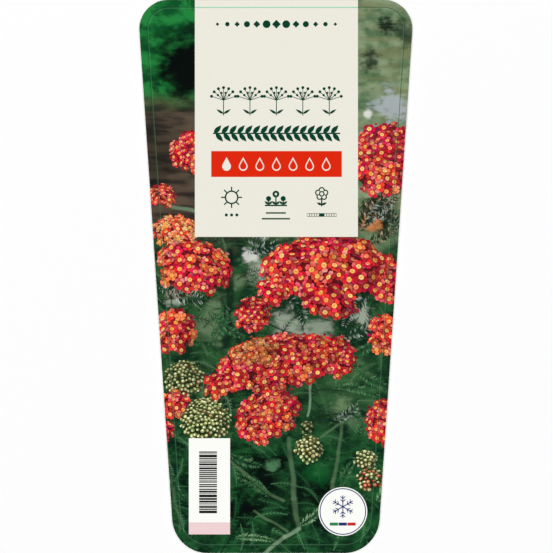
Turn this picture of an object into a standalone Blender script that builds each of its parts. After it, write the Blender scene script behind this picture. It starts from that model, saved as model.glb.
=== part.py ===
"""A garden plant label: one flat die-cut plastic sheet, wide at the top and narrow at the foot.

The sheet lies on its back. +Z points out of its printed face, +Y from its foot to its top, and the origin
is in the middle of its outline, on the back face.
"""

import math

import bpy
from mathutils import Vector

# Driving dimensions, in metres. The two widths are those of the straight sides carried on to the
# top and bottom edges, as if the corners weren't rounded.
HEIGHT = 0.220
TOP_WIDTH = 0.1102
BOTTOM_WIDTH = 0.0807
THICKNESS = 0.0005
TOP_CORNER_RADIUS = 0.0117
BOTTOM_CORNER_RADIUS = 0.0143

# The cutting die leaves the sheet's edges very slightly rounded.
EDGE_ROUNDING = 0.00008
EDGE_ROUNDING_STEPS = 2
SHARP_EDGE_ANGLE = math.radians(30)

# Every corner arc turns by no more than this between one point and the next.
ARC_STEP = math.radians(5)

# Points nearer than this are one point where the outline's caps meet its sides.
WELD_DISTANCE = 0.00001

COLLECTION_NAME = "plant_label"
SHEET_NAME = "label_sheet"
PLASTIC_NAME = "white_label_plastic"
PLASTIC_COLOUR = (0.86, 0.87, 0.84, 1.0)
PLASTIC_ROUGHNESS = 0.38


def clear_scene() -> None:
    """Removes the objects that a new Blender file starts with."""
    for thing in list(bpy.data.objects):
        bpy.data.objects.remove(thing, do_unlink=True)


def new_collection() -> bpy.types.Collection:
    """The collection that holds the label's pieces."""
    collection = bpy.data.collections.new(COLLECTION_NAME)
    bpy.context.scene.collection.children.link(collection)
    return collection


def white_plastic() -> bpy.types.Material:
    """The satin white plastic that the sheet is cut from."""
    material = bpy.data.materials.new(PLASTIC_NAME)
    material.use_nodes = True
    shader = material.node_tree.nodes["Principled BSDF"]
    shader.inputs["Base Color"].default_value = PLASTIC_COLOUR
    shader.inputs["Roughness"].default_value = PLASTIC_ROUGHNESS
    shader.inputs["Metallic"].default_value = 0.0
    return material


def rounded_corner(before: Vector, corner: Vector, after: Vector, radius: float) -> list[Vector]:
    """Points along the arc that rounds one corner of an outline.

    Args:
        before: The outline's corner before this one.
        corner: The sharp corner that is rounded.
        after: The outline's corner after this one.
        radius: The arc's radius.

    Returns:
        Points from one end of the arc to the other, where it touches the two straight edges.
    """
    to_before = (before - corner).normalized()
    to_after = (after - corner).normalized()
    opening = to_before.angle(to_after)
    centre = corner + (to_before + to_after).normalized() * radius / math.sin(opening / 2)
    turn = math.pi - opening
    steps = math.ceil(turn / ARC_STEP)
    start = corner + to_before * radius / math.tan(opening / 2) - centre
    side = math.copysign(1.0, (corner - before).cross(after - corner))
    points = []
    for step in range(steps + 1):
        angle = side * turn * step / steps
        spoke = Vector((
            start.x * math.cos(angle) - start.y * math.sin(angle),
            start.x * math.sin(angle) + start.y * math.cos(angle),
        ))
        points.append(centre + spoke)
    return points


def label_outline() -> list[Vector]:
    """The label's outline seen from the front: a tapered shape with four rounded corners."""
    corners = [
        (Vector((-BOTTOM_WIDTH / 2, -HEIGHT / 2)), BOTTOM_CORNER_RADIUS),
        (Vector((BOTTOM_WIDTH / 2, -HEIGHT / 2)), BOTTOM_CORNER_RADIUS),
        (Vector((TOP_WIDTH / 2, HEIGHT / 2)), TOP_CORNER_RADIUS),
        (Vector((-TOP_WIDTH / 2, HEIGHT / 2)), TOP_CORNER_RADIUS),
    ]
    points = []
    for index, (corner, radius) in enumerate(corners):
        before = corners[index - 1][0]
        after = corners[(index + 1) % len(corners)][0]
        points += rounded_corner(before, corner, after, radius)
    return points


def add_sheet(collection: bpy.types.Collection, plastic: bpy.types.Material) -> bpy.types.Object:
    """The whole label: the outline extruded to the sheet's thickness, with its edges just rounded."""
    curve = bpy.data.curves.new(SHEET_NAME, "CURVE")
    curve.dimensions = "2D"
    curve.fill_mode = "BOTH"
    curve.extrude = THICKNESS / 2
    outline = label_outline()
    spline = curve.splines.new("POLY")
    spline.points.add(len(outline) - 1)
    for point, place in zip(spline.points, outline):
        point.co = (place.x, place.y, 0.0, 1.0)
    spline.use_cyclic_u = True
    curve.materials.append(plastic)

    sheet = bpy.data.objects.new(SHEET_NAME, curve)
    sheet.location.z = THICKNESS / 2
    collection.objects.link(sheet)

    weld = sheet.modifiers.new("caps", "WELD")
    weld.merge_threshold = WELD_DISTANCE
    rounding = sheet.modifiers.new("die_cut_edge", "BEVEL")
    rounding.width = EDGE_ROUNDING
    rounding.segments = EDGE_ROUNDING_STEPS
    rounding.limit_method = "ANGLE"
    rounding.angle_limit = SHARP_EDGE_ANGLE
    return sheet


def main() -> None:
    clear_scene()
    add_sheet(new_collection(), white_plastic())


if __name__ == "__main__":
    main()
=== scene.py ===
"""Looks of a garden plant label: a white plastic sheet with a printed picture of red yarrow.

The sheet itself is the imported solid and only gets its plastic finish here. The print lies on it as
very thin films of ink: the garden picture, the cream panel, the code panel and the round badge.
Every film is one flat sheet cut into coloured areas, so it has no overlapping faces.

Print sizes are in millimetres on the label, from the middle of its outline: x to the right and y up
towards its wide top. Meshes are in metres.
"""

import logging
import math
import random
from collections import defaultdict, deque
from collections.abc import Callable, Iterable, Sequence
from dataclasses import dataclass, field
from enum import Enum
from functools import cache
from typing import Any, ClassVar

import bpy
import numpy as np
from bpy.types import ID, Material, Mesh, Node, NodeSocket, NodeTree, Object
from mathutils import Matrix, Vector
from mathutils.geometry import convex_hull_2d, delaunay_2d_cdt


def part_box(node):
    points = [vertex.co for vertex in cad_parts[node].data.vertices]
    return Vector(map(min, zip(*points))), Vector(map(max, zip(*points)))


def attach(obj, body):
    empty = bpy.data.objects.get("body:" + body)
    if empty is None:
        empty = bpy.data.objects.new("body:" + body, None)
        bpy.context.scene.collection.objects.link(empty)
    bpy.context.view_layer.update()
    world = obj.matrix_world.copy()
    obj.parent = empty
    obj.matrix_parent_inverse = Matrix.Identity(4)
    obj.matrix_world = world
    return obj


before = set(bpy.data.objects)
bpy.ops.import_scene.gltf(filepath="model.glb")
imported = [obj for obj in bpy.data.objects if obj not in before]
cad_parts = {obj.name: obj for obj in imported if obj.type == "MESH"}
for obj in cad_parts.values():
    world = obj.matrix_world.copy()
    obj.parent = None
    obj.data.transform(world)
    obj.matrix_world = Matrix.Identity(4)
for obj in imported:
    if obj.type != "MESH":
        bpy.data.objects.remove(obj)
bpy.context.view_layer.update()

LOG = logging.getLogger("plant_label")
BODY = "root"
SHEET_NODE = "label_sheet"
MM = 0.001
INK_ATTRIBUTE = "ink"
BAKE_MAP = "OFBake"

# Where the printed face lies in its UV map, as shares of the map.
MAP_EDGE = 0.004
MAP_TOP_SHARE = 0.95

# What counts as one point, as a straight line and as no area at all, in millimetres.
CDT_EPSILON = 1e-5
STRAIGHT = 3e-5
LEAST_AREA = 1e-3

Array = np.ndarray
Point = tuple[float, float]
Rgb = tuple[int, int, int]
Rgba = tuple[float, float, float, float]
Stack = tuple[int, ...]


class Ink(Enum):
    """Printing inks and paper tones, as sRGB values from 0 to 255."""

    CREAM = (237, 235, 222)
    BOTTLE_GREEN = (5, 63, 43)
    BANNER_RED = (223, 40, 12)
    MINT = (152, 213, 179)
    WHITE = (253, 254, 249)
    PINK = (241, 212, 214)
    BLACK = (26, 26, 28)
    NAVY = (34, 48, 112)
    FLAG_RED = (205, 32, 44)
    LEAF_GREEN = (44, 132, 74)


def linear(colour: Rgb, alpha: float = 1.0) -> Rgba:
    """A printed colour in scene-linear light.

    Args:
        colour: sRGB values from 0 to 255.
        alpha: How much of what lies below the ink hides.

    Returns:
        Linear red, green and blue, with the alpha last.
    """
    channels = [value / 255 for value in colour]
    red, green, blue = (c / 12.92 if c <= 0.04045 else ((c + 0.055) / 1.055) ** 2.4 for c in channels)
    return (red, green, blue, alpha)


def blend(first: Rgb, second: Rgb, share: float) -> Rgb:
    """The colour that lies a share of the way from the first to the second."""
    return tuple(round(a + (b - a) * share) for a, b in zip(first, second))


def lit(colour: Rgb, light: float) -> Rgb:
    """The colour made lighter or darker by a factor, within the printable range."""
    return tuple(round(min(255.0, max(0.0, value * light))) for value in colour)


def add_object(name: str, data: ID) -> Object:
    """Puts a mesh, light or camera into the scene.

    Args:
        name: The new object's name.
        data: What it holds.

    Returns:
        The object.
    """
    thing = bpy.data.objects.new(name, data)
    bpy.context.scene.collection.objects.link(thing)
    return thing


def mesh_points(mesh: Mesh) -> Array:
    """A mesh's points.

    Args:
        mesh: The mesh.

    Returns:
        One row for each point.
    """
    points = np.empty(len(mesh.vertices) * 3)
    mesh.vertices.foreach_get("co", points)
    return points.reshape(-1, 3)


def first_output(node: Node) -> NodeSocket:
    """The first output that the node's settings leave in use."""
    return next(socket for socket in node.outputs if socket.enabled)


@dataclass
class Graph:
    """A node tree that is being built: Geometry Nodes, a shader group or a material's own tree."""

    tree: NodeTree

    def add(self, kind: str, settings: dict[str, Any] | None = None, **inputs: Any) -> Node:
        """Adds one node.

        Args:
            kind: The node's type.
            settings: Properties to set on it before its sockets are looked up.
            **inputs: A value or an output socket for each input, by name with _ for each space.

        Returns:
            The new node.
        """
        node = self.tree.nodes.new(kind)
        for name, value in (settings or {}).items():
            setattr(node, name, value)
        for name, value in inputs.items():
            self.feed(node, name.replace("_", " "), value)
        return node

    def feed(self, node: Node, name: str | int, value: Any) -> None:
        """Links or sets one of the node's inputs that are in use.

        Args:
            node: The node to feed.
            name: The input's name, or its place among those in use.
            value: An output socket, a node whose first output is used, or a plain value.
        """
        used = [socket for socket in node.inputs if socket.enabled]
        socket = used[name] if isinstance(name, int) else next(s for s in used if s.name == name)
        if isinstance(value, Node):
            value = first_output(value)
        if isinstance(value, NodeSocket):
            self.tree.links.new(value, socket)
        else:
            socket.default_value = value

    def sum(self, kind: str, settings: dict[str, Any], values: Sequence[Any]) -> NodeSocket:
        """Adds a node of arithmetic.

        Args:
            kind: The node's type.
            settings: Its operation and other properties.
            values: Its inputs in order, as sockets, nodes or plain values.

        Returns:
            The result's socket.
        """
        node = self.add(kind, settings)
        for place, value in enumerate(values):
            self.feed(node, place, value)
        return first_output(node)

    def maths(self, operation: str, *values: Any, clamp: bool = False) -> NodeSocket:
        """A calculation with numbers, held between 0 and 1 if clamped."""
        return self.sum("ShaderNodeMath", {"operation": operation, "use_clamp": clamp}, values)

    def vectors(self, operation: str, *values: Any) -> NodeSocket:
        """A calculation with vectors."""
        return self.sum("ShaderNodeVectorMath", {"operation": operation}, values)

    def times(self, *values: Any) -> NodeSocket:
        """The product of two numbers."""
        return self.maths("MULTIPLY", *values)

    def sway(self, value: Any, reach: Any) -> NodeSocket:
        """A value from 0 to 1 made to swing evenly about zero, over a reach."""
        return self.times(self.maths("SUBTRACT", value, 0.5), reach)

    def noise(self, place: Any, scale: Any, **more: Any) -> NodeSocket:
        """Soft noise at a place, from 0 to 1."""
        return self.add("ShaderNodeTexNoise", Vector=place, Scale=scale, **more).outputs[0]

    def chance(self, low: Any, high: Any, seed: Any, kind: str = "FLOAT") -> Node:
        """A random number or vector for each point."""
        return self.add("FunctionNodeRandomValue", {"data_type": kind}, Min=low, Max=high, Seed=seed)

    def ramp(self, value: Any, low: Any, high: Any, start: float = 0.0, end: float = 1.0) -> Node:
        """A smooth step between two values.

        Args:
            value: What it follows.
            low: Where it begins.
            high: Where it is done.
            start: The result before it.
            end: The result after it.

        Returns:
            The new node.
        """
        settings = {"interpolation_type": "SMOOTHSTEP"}
        return self.add(
            "ShaderNodeMapRange", settings, Value=value, From_Min=low, From_Max=high, To_Min=start, To_Max=end
        )

    def mix(self, share: Any, below: Any, above: Any) -> NodeSocket:
        """The first colour with a share of the second over it."""
        return first_output(self.add("ShaderNodeMix", {"data_type": "RGBA"}, Factor=share, A=below, B=above))

    def group(self, tree: NodeTree, **inputs: Any) -> Any:
        """The outputs of a shader group placed with its own values."""
        return self.add("ShaderNodeGroup", {"node_tree": tree}, **inputs).outputs


FLOAT = "NodeSocketFloat"
COLOUR = "NodeSocketColor"


def socket_kind(default: Any) -> str:
    """The type of socket for a default, or the default itself where it names a type.

    Args:
        default: A number, a vector, a colour or a socket type's name.

    Returns:
        The socket type's name.
    """
    if isinstance(default, str):
        return default
    if isinstance(default, tuple):
        return "NodeSocketVector" if len(default) == 3 else COLOUR
    return "NodeSocketInt" if isinstance(default, int) else FLOAT


def new_tree(name: str, kind: str, inputs: dict[str, Any], outputs: dict[str, str]) -> tuple[Graph, Any]:
    """A new node tree with named sockets.

    Args:
        name: The tree's name.
        kind: The tree's type.
        inputs: A default for each input's name, or its socket's type where it has no default.
        outputs: The socket's type for each output's name.

    Returns:
        The graph, and the sockets that give its inputs.
    """
    tree = bpy.data.node_groups.new(name, kind)
    for label, socket_type in outputs.items():
        tree.interface.new_socket(label, in_out="OUTPUT", socket_type=socket_type)
    for label, default in inputs.items():
        socket = tree.interface.new_socket(label, in_out="INPUT", socket_type=socket_kind(default))
        if not isinstance(default, str):
            socket.default_value = default
    graph = Graph(tree)
    return graph, graph.add("NodeGroupInput").outputs


def geometry_tree(name: str, sizes: dict[str, Any]) -> tuple[Graph, Any]:
    """A new Geometry Nodes tree that repeats a motif, with a default for each of its sizes."""
    inputs = {"Motif": "NodeSocketObject", **sizes, "Material": "NodeSocketMaterial"}
    return new_tree(name, "GeometryNodeTree", inputs, {"Geometry": "NodeSocketGeometry"})


def turned(graph: Graph, rotation: Any, euler: Any) -> Node:
    """Turns a rotation further about its own axes.

    Args:
        graph: The tree being built.
        rotation: The rotation.
        euler: How far it is turned about each axis.

    Returns:
        The node that gives the new rotation.
    """
    further = graph.add("FunctionNodeEulerToRotation", Euler=euler)
    settings = {"rotation_space": "LOCAL"}
    return graph.add("FunctionNodeRotateRotation", settings, Rotation=rotation, Rotate_By=further)


def close_tree(graph: Graph, want: Any, points: Any, rotation: Any, scale: Any = None) -> NodeTree:
    """Ends a tree: its motif on each point, then Realize Instances and Set Material.

    Args:
        graph: The tree being built.
        want: The sockets that give its inputs.
        points: Where the motif goes.
        rotation: How each copy is turned.
        scale: How large each copy is, if not as it was made.

    Returns:
        The finished tree.
    """
    motif = graph.add("GeometryNodeObjectInfo", Object=want["Motif"]).outputs["Geometry"]
    copies = graph.add("GeometryNodeInstanceOnPoints", Points=points, Instance=motif, Rotation=rotation)
    if scale is not None:
        graph.feed(copies, "Scale", scale)
    realised = graph.add("GeometryNodeRealizeInstances", Geometry=copies)
    dressed = graph.add("GeometryNodeSetMaterial", Geometry=realised, Material=want["Material"])
    graph.add("NodeGroupOutput", Geometry=dressed)
    return graph.tree


@dataclass
class Motif:
    """A small shape of several flat faces that a tree repeats, kept as an object of its own.

    Attributes:
        name: The object's name.
        faces: Each face's points.
    """

    name: str
    faces: list[Array]
    thing: Object = field(init=False)
    spans: list[tuple[int, int]] = field(init=False)

    def __post_init__(self) -> None:
        """Makes the object that the trees instance."""
        ends = np.cumsum([0] + [len(face) for face in self.faces])
        self.spans = list(zip(ends, ends[1:]))
        mesh = bpy.data.meshes.new(self.name)
        mesh.from_pydata(np.concatenate(self.faces).tolist(), [], [list(range(a, b)) for a, b in self.spans])
        self.thing = add_object(self.name, mesh)

    def grow(self, tree: NodeTree, ink: Material, sizes: dict[str, Any]) -> Array:
        """Runs a tree once and reads the copies of the motif that it makes.

        Args:
            tree: The tree.
            ink: The material that it sets on them.
            sizes: A value for each of its other inputs.

        Returns:
            The points of each copy.
        """
        values = {"Motif": self.thing, "Material": ink, **sizes}
        holder = add_object(tree.name, bpy.data.meshes.new(tree.name))
        modifier = holder.modifiers.new(tree.name, "NODES")
        modifier.node_group = tree
        for item in tree.interface.items_tree:
            if item.item_type == "SOCKET" and item.in_out == "INPUT" and item.name in values:
                modifier[item.identifier] = values[item.name]
        mesh = bpy.data.meshes.new_from_object(holder.evaluated_get(bpy.context.evaluated_depsgraph_get()))
        points = mesh_points(mesh)
        bpy.data.objects.remove(holder, do_unlink=True)
        bpy.data.meshes.remove(mesh)
        return points.reshape(-1, self.spans[-1][1], 3)

    def remove(self) -> None:
        """Deletes the object once nothing instances it."""
        bpy.data.objects.remove(self.thing, do_unlink=True)


def signed_area(outline: Array) -> float:
    """An outline's area, below zero where its points run clockwise."""
    x, y = outline[:, 0], outline[:, 1]
    return float((x * np.roll(y, -1) - np.roll(x, -1) * y).sum() / 2)


def crosses_itself(outline: Array) -> bool:
    """Whether two sides of an outline cross, as when a petal is seen edge-on.

    Args:
        outline: Its points, counter-clockwise.

    Returns:
        True where two sides cross.
    """
    ends = np.roll(outline, -1, axis=0)
    sides = ends - outline
    bends = sides[:, 0] * np.roll(sides[:, 1], -1) - sides[:, 1] * np.roll(sides[:, 0], -1)
    to_start = outline[None] - outline[:, None]
    to_end = ends[None] - outline[:, None]
    start_side = sides[:, None, 0] * to_start[..., 1] - sides[:, None, 1] * to_start[..., 0]
    end_side = sides[:, None, 0] * to_end[..., 1] - sides[:, None, 1] * to_end[..., 0]
    apart = start_side * end_side < 0
    return bool((bends.min() < 0) and (apart & apart.T).any())


def hull(outline: Array) -> Array:
    """The smallest convex outline around some points, counter-clockwise."""
    order = convex_hull_2d([Vector(point) for point in outline])
    return outline[order]


def changing_edges(triangles: Array, labels: Array) -> tuple[Array, Array]:
    """The edges where what shows changes.

    Args:
        triangles: Triangles, counter-clockwise.
        labels: A label for each, below zero outside the film.

    Returns:
        Each edge's two ends, and the labels at its left and its right.
    """
    edges = triangles[:, [0, 1, 1, 2, 2, 0]].reshape(-1, 2)
    order = np.lexsort((edges.max(1), edges.min(1)))
    edges, left = edges[order], np.repeat(labels, 3)[order]
    same = (np.sort(edges[1:], axis=1) == np.sort(edges[:-1], axis=1)).all(1)
    paired = np.flatnonzero(same)
    single = np.setdiff1d(np.arange(len(edges)), np.concatenate([paired, paired + 1]))
    right = np.full(len(edges), -1)
    right[paired] = left[paired + 1]
    chosen = np.concatenate([paired, single])
    chosen = chosen[left[chosen] != right[chosen]]
    return edges[chosen], np.column_stack([left, right])[chosen]


def straighten(points: Array, edges: Array, sides: Array) -> tuple[Array, Array]:
    """Joins edges that meet in a straight line where nothing else meets them.

    Args:
        points: The points.
        edges: Each edge's two ends.
        sides: The labels at each edge's left and right.

    Returns:
        The joined edges, and the labels beside each.
    """
    places = points.tolist()
    ends = [tuple(edge) for edge in edges.tolist()]
    meeting = defaultdict(set)
    for number, (a, b) in enumerate(ends):
        meeting[a].add(number)
        meeting[b].add(number)
    gone = set()
    for corner, here in meeting.items():
        if len(here) != 2:
            continue
        kept, dropped = sorted(here)
        start = sum(ends[kept]) - corner
        end = sum(ends[dropped]) - corner
        (px, py), (cx, cy), (qx, qy) = places[start], places[corner], places[end]
        length = math.hypot(qx - px, qy - py)
        away = abs((qx - px) * (cy - py) - (qy - py) * (cx - px))
        onward = (cx - px) * (qx - cx) + (cy - py) * (qy - cy)
        if away > STRAIGHT * length or onward <= 0 or meeting[start] & meeting[end]:
            continue
        ends[kept] = (start, end) if ends[kept][1] == corner else (end, start)
        gone.add(dropped)
        meeting[end].discard(dropped)
        meeting[end].add(kept)
        here.clear()
    left = [number for number in range(len(ends)) if number not in gone]
    return np.array(ends)[left], sides[left]


def spread_labels(triangles: Sequence[Sequence[int]], beside: dict[tuple[int, int], int]) -> list[int]:
    """Labels triangles from the edges whose left side is known, and the rest from their neighbours.

    Args:
        triangles: Triangles, counter-clockwise.
        beside: The label at the left of an edge, by its start and end.

    Returns:
        A label for each triangle.
    """
    labels = [None] * len(triangles)
    open_edges = defaultdict(list)
    for place, (a, b, c) in enumerate(triangles):
        for edge in ((a, b), (b, c), (c, a)):
            if edge in beside:
                labels[place] = beside[edge]
            else:
                open_edges[min(edge), max(edge)].append(place)
    waiting = deque(place for place, label in enumerate(labels) if label is not None)
    while waiting:
        place = waiting.popleft()
        a, b, c = triangles[place]
        for edge in ((a, b), (b, c), (c, a)):
            for other in open_edges.get((min(edge), max(edge)), ()):
                if labels[other] is None:
                    labels[other] = labels[place]
                    waiting.append(other)
    return [-1 if label is None else label for label in labels]


def merge_alike(
    points: Array, triangles: Array, stacks: list[Stack | None]
) -> tuple[Array, Array, list[Stack]]:
    """Cuts a film again, along only those edges where what shows changes.

    Args:
        points: The points of the finely cut film.
        triangles: Its triangles, counter-clockwise.
        stacks: What shows on each triangle, None outside the film.

    Returns:
        The points, the film's triangles and what shows on each.
    """
    kinds = {None: -1}
    labels = np.array([kinds.setdefault(stack, len(kinds) - 1) for stack in stacks])
    shown = {label: stack for stack, label in kinds.items()}
    edges, sides = straighten(points, *changing_edges(triangles, labels))
    used, index = np.unique(edges, return_inverse=True)
    flat = [Vector(point) for point in points[used]]
    cut, borders, pieces, _, origins, _ = delaunay_2d_cdt(
        flat, index.reshape(-1, 2).tolist(), [], 0, CDT_EPSILON, True
    )
    cut = np.array(cut, float)
    beside = {}
    for (a, b), origin in zip(borders, origins):
        if origin:
            start, end = points[edges[origin[0]]]
            left, right = sides[origin[0]].tolist()
            if (cut[b] - cut[a]) @ (end - start) < 0:
                left, right = right, left
            beside[a, b], beside[b, a] = left, right
    labels = spread_labels(pieces, beside)
    inside = [place for place, label in enumerate(labels) if label >= 0]
    return cut, np.array(pieces)[inside], [shown[labels[place]] for place in inside]


def ring_points(centre: Point, radius: float, count: int) -> Array:
    """Points evenly spaced around a circle."""
    angles = np.arange(count) * 2 * math.pi / count
    return np.column_stack([centre[0] + radius * np.cos(angles), centre[1] + radius * np.sin(angles)])


def box_points(left: float, bottom: float, right: float, top: float) -> Array:
    """The four corners of an upright rectangle."""
    return np.array([(left, bottom), (right, bottom), (right, top), (left, top)])


@dataclass
class Artwork:
    """Flat coloured shapes in the order that they are laid down, each with a straight gradient."""

    shapes: list[Array] = field(default_factory=list, init=False)
    starts: list[Point] = field(default_factory=list, init=False)
    ends: list[Point] = field(default_factory=list, init=False)
    first: list[Rgba] = field(default_factory=list, init=False)
    last: list[Rgba] = field(default_factory=list, init=False)

    def lay(
        self,
        outline: Iterable[Point],
        colour: Rgb,
        alpha: float = 1.0,
        fade: tuple[Point, Point, Rgb, float] | None = None,
    ) -> None:
        """Lays one shape over those before it.

        Args:
            outline: The shape's corners in order.
            colour: Its colour, at the gradient's start if it has one.
            alpha: How much it hides what lies below, there.
            fade: The gradient's start and end points, and its colour and alpha at the end.
        """
        outline = np.asarray(list(outline), float)[:, :2]
        start, end, tip, tip_alpha = fade or (outline[0], outline[0] + 1.0, colour, alpha)
        area = signed_area(outline)
        if abs(area) < LEAST_AREA:
            return
        if area < 0:
            outline = outline[::-1]
        if crosses_itself(outline):
            outline = hull(outline)
        self.shapes.append(outline)
        self.starts.append((float(start[0]), float(start[1])))
        self.ends.append((float(end[0]), float(end[1])))
        self.first.append(linear(colour, alpha))
        self.last.append(linear(tip, tip_alpha))

    def box(self, left: float, bottom: float, right: float, top: float, colour: Rgb) -> None:
        """Lays an upright rectangle."""
        self.lay(box_points(left, bottom, right, top), colour)

    def disc(self, centre: Point, radius: float, colour: Rgb, sides: int = 12) -> None:
        """Lays a disc, or a many-sided tile."""
        self.lay(ring_points(centre, radius, sides), colour)

    def hoop(self, centre: Point, radius: float, width: float, inks: Sequence[Rgb], sides: int = 28) -> None:
        """Lays a ring as a disc of the first ink with a smaller disc of the second over it."""
        for ink, reach in zip(inks, (radius, radius - width)):
            self.disc(centre, reach, ink, sides)

    def stroke(self, start: Point, end: Point, width: float, colour: Rgb) -> None:
        """Lays a straight line of even width.

        Args:
            start: Where it starts.
            end: Where it ends.
            width: Its width.
            colour: Its colour.
        """
        path = np.array([start, end])
        along = (path[1] - path[0]) / np.linalg.norm(path[1] - path[0])
        across = np.array([-along[1], along[0]]) * width / 2
        self.lay([*(path + across), *(path - across)[::-1]], colour)

    def flatten(self, boundary: Array) -> tuple[Array, Array, Array]:
        """Cuts the boundary's area into triangles and gives each corner the colour that shows there.

        Args:
            boundary: The film's outline, whose inside is kept.

        Returns:
            The points, the triangles, and a colour for every triangle's corner.
        """
        loops = [boundary] + self.shapes
        ends = np.cumsum([0] + [len(loop) for loop in loops])
        flat = [Vector(point) for point in np.concatenate(loops)]
        faces = [list(range(a, b)) for a, b in zip(ends, ends[1:])]
        points, _, triangles, _, _, owners = delaunay_2d_cdt(flat, [], faces, 0, CDT_EPSILON, True)
        stacks = [self.showing(owner) for owner in owners]
        points, triangles, stacks = merge_alike(np.array(points, float), np.array(triangles), stacks)
        colours = self.composite(points[triangles], stacks)
        used, index = np.unique(triangles, return_inverse=True)
        return points[used], index.reshape(-1, 3), colours

    def showing(self, owner: list[int]) -> Stack | None:
        """The shapes that show where some shapes lie, from the highest opaque one up.

        Args:
            owner: The shapes there, counted from 1, and 0 where the film itself is.

        Returns:
            The shapes in order, or None outside the film.
        """
        if 0 not in owner:
            return None
        stack = sorted(owner)[1:]
        for place in range(len(stack) - 1, 0, -1):
            shape = stack[place] - 1
            if min(self.first[shape][3], self.last[shape][3]) >= 1.0:
                return tuple(stack[place:])
        return tuple(stack)

    def composite(self, corners: Array, stacks: list[Stack]) -> Array:
        """The colour of each triangle's corners, from the lowest shape to the highest.

        Args:
            corners: Each triangle's three points.
            stacks: For each triangle, the shapes that show there in order, counted from 1.

        Returns:
            Linear colour and alpha for each corner of each triangle.
        """
        result = np.zeros((len(corners), 3, 4))
        starts, ends = np.array(self.starts), np.array(self.ends)
        first, last = np.array(self.first), np.array(self.last)
        axes = ends - starts
        axes /= np.maximum((axes**2).sum(1, keepdims=True), 1e-12)
        for level in range(max(len(stack) for stack in stacks)):
            rows = np.array([row for row, stack in enumerate(stacks) if len(stack) > level])
            shapes = np.array([stacks[row][level] for row in rows]) - 1
            along = ((corners[rows] - starts[shapes][:, None]) * axes[shapes][:, None]).sum(2)
            along = np.clip(along, 0.0, 1.0)[..., None]
            ink = first[shapes][:, None] * (1 - along) + last[shapes][:, None] * along
            cover, under = ink[..., 3:], result[rows]
            alpha = cover + under[..., 3:] * (1 - cover)
            blended = ink[..., :3] * cover + under[..., :3] * under[..., 3:] * (1 - cover)
            result[rows] = np.concatenate([blended / np.maximum(alpha, 1e-6), alpha], axis=2)
        return result


@cache
def marks_tree() -> NodeTree:
    """The tree that sets marks in a row, each turned further than the one before.

    Returns:
        The tree, which sets them around a circle where the row has no length.
    """
    sizes = {"Count": 8, "Step": (0.0, 0.0, 0.0), "First Angle": 0.0, "Turn": 0.0}
    graph, want = geometry_tree("marks", sizes)
    seats = graph.add("GeometryNodeMeshLine", Count=want["Count"], Offset=want["Step"])
    turn = graph.times(graph.add("GeometryNodeInputIndex"), want["Turn"])
    angle = graph.add("ShaderNodeCombineXYZ", Z=graph.maths("ADD", turn, want["First Angle"]))
    return close_tree(graph, want, seats, graph.add("FunctionNodeEulerToRotation", Euler=angle))


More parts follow.
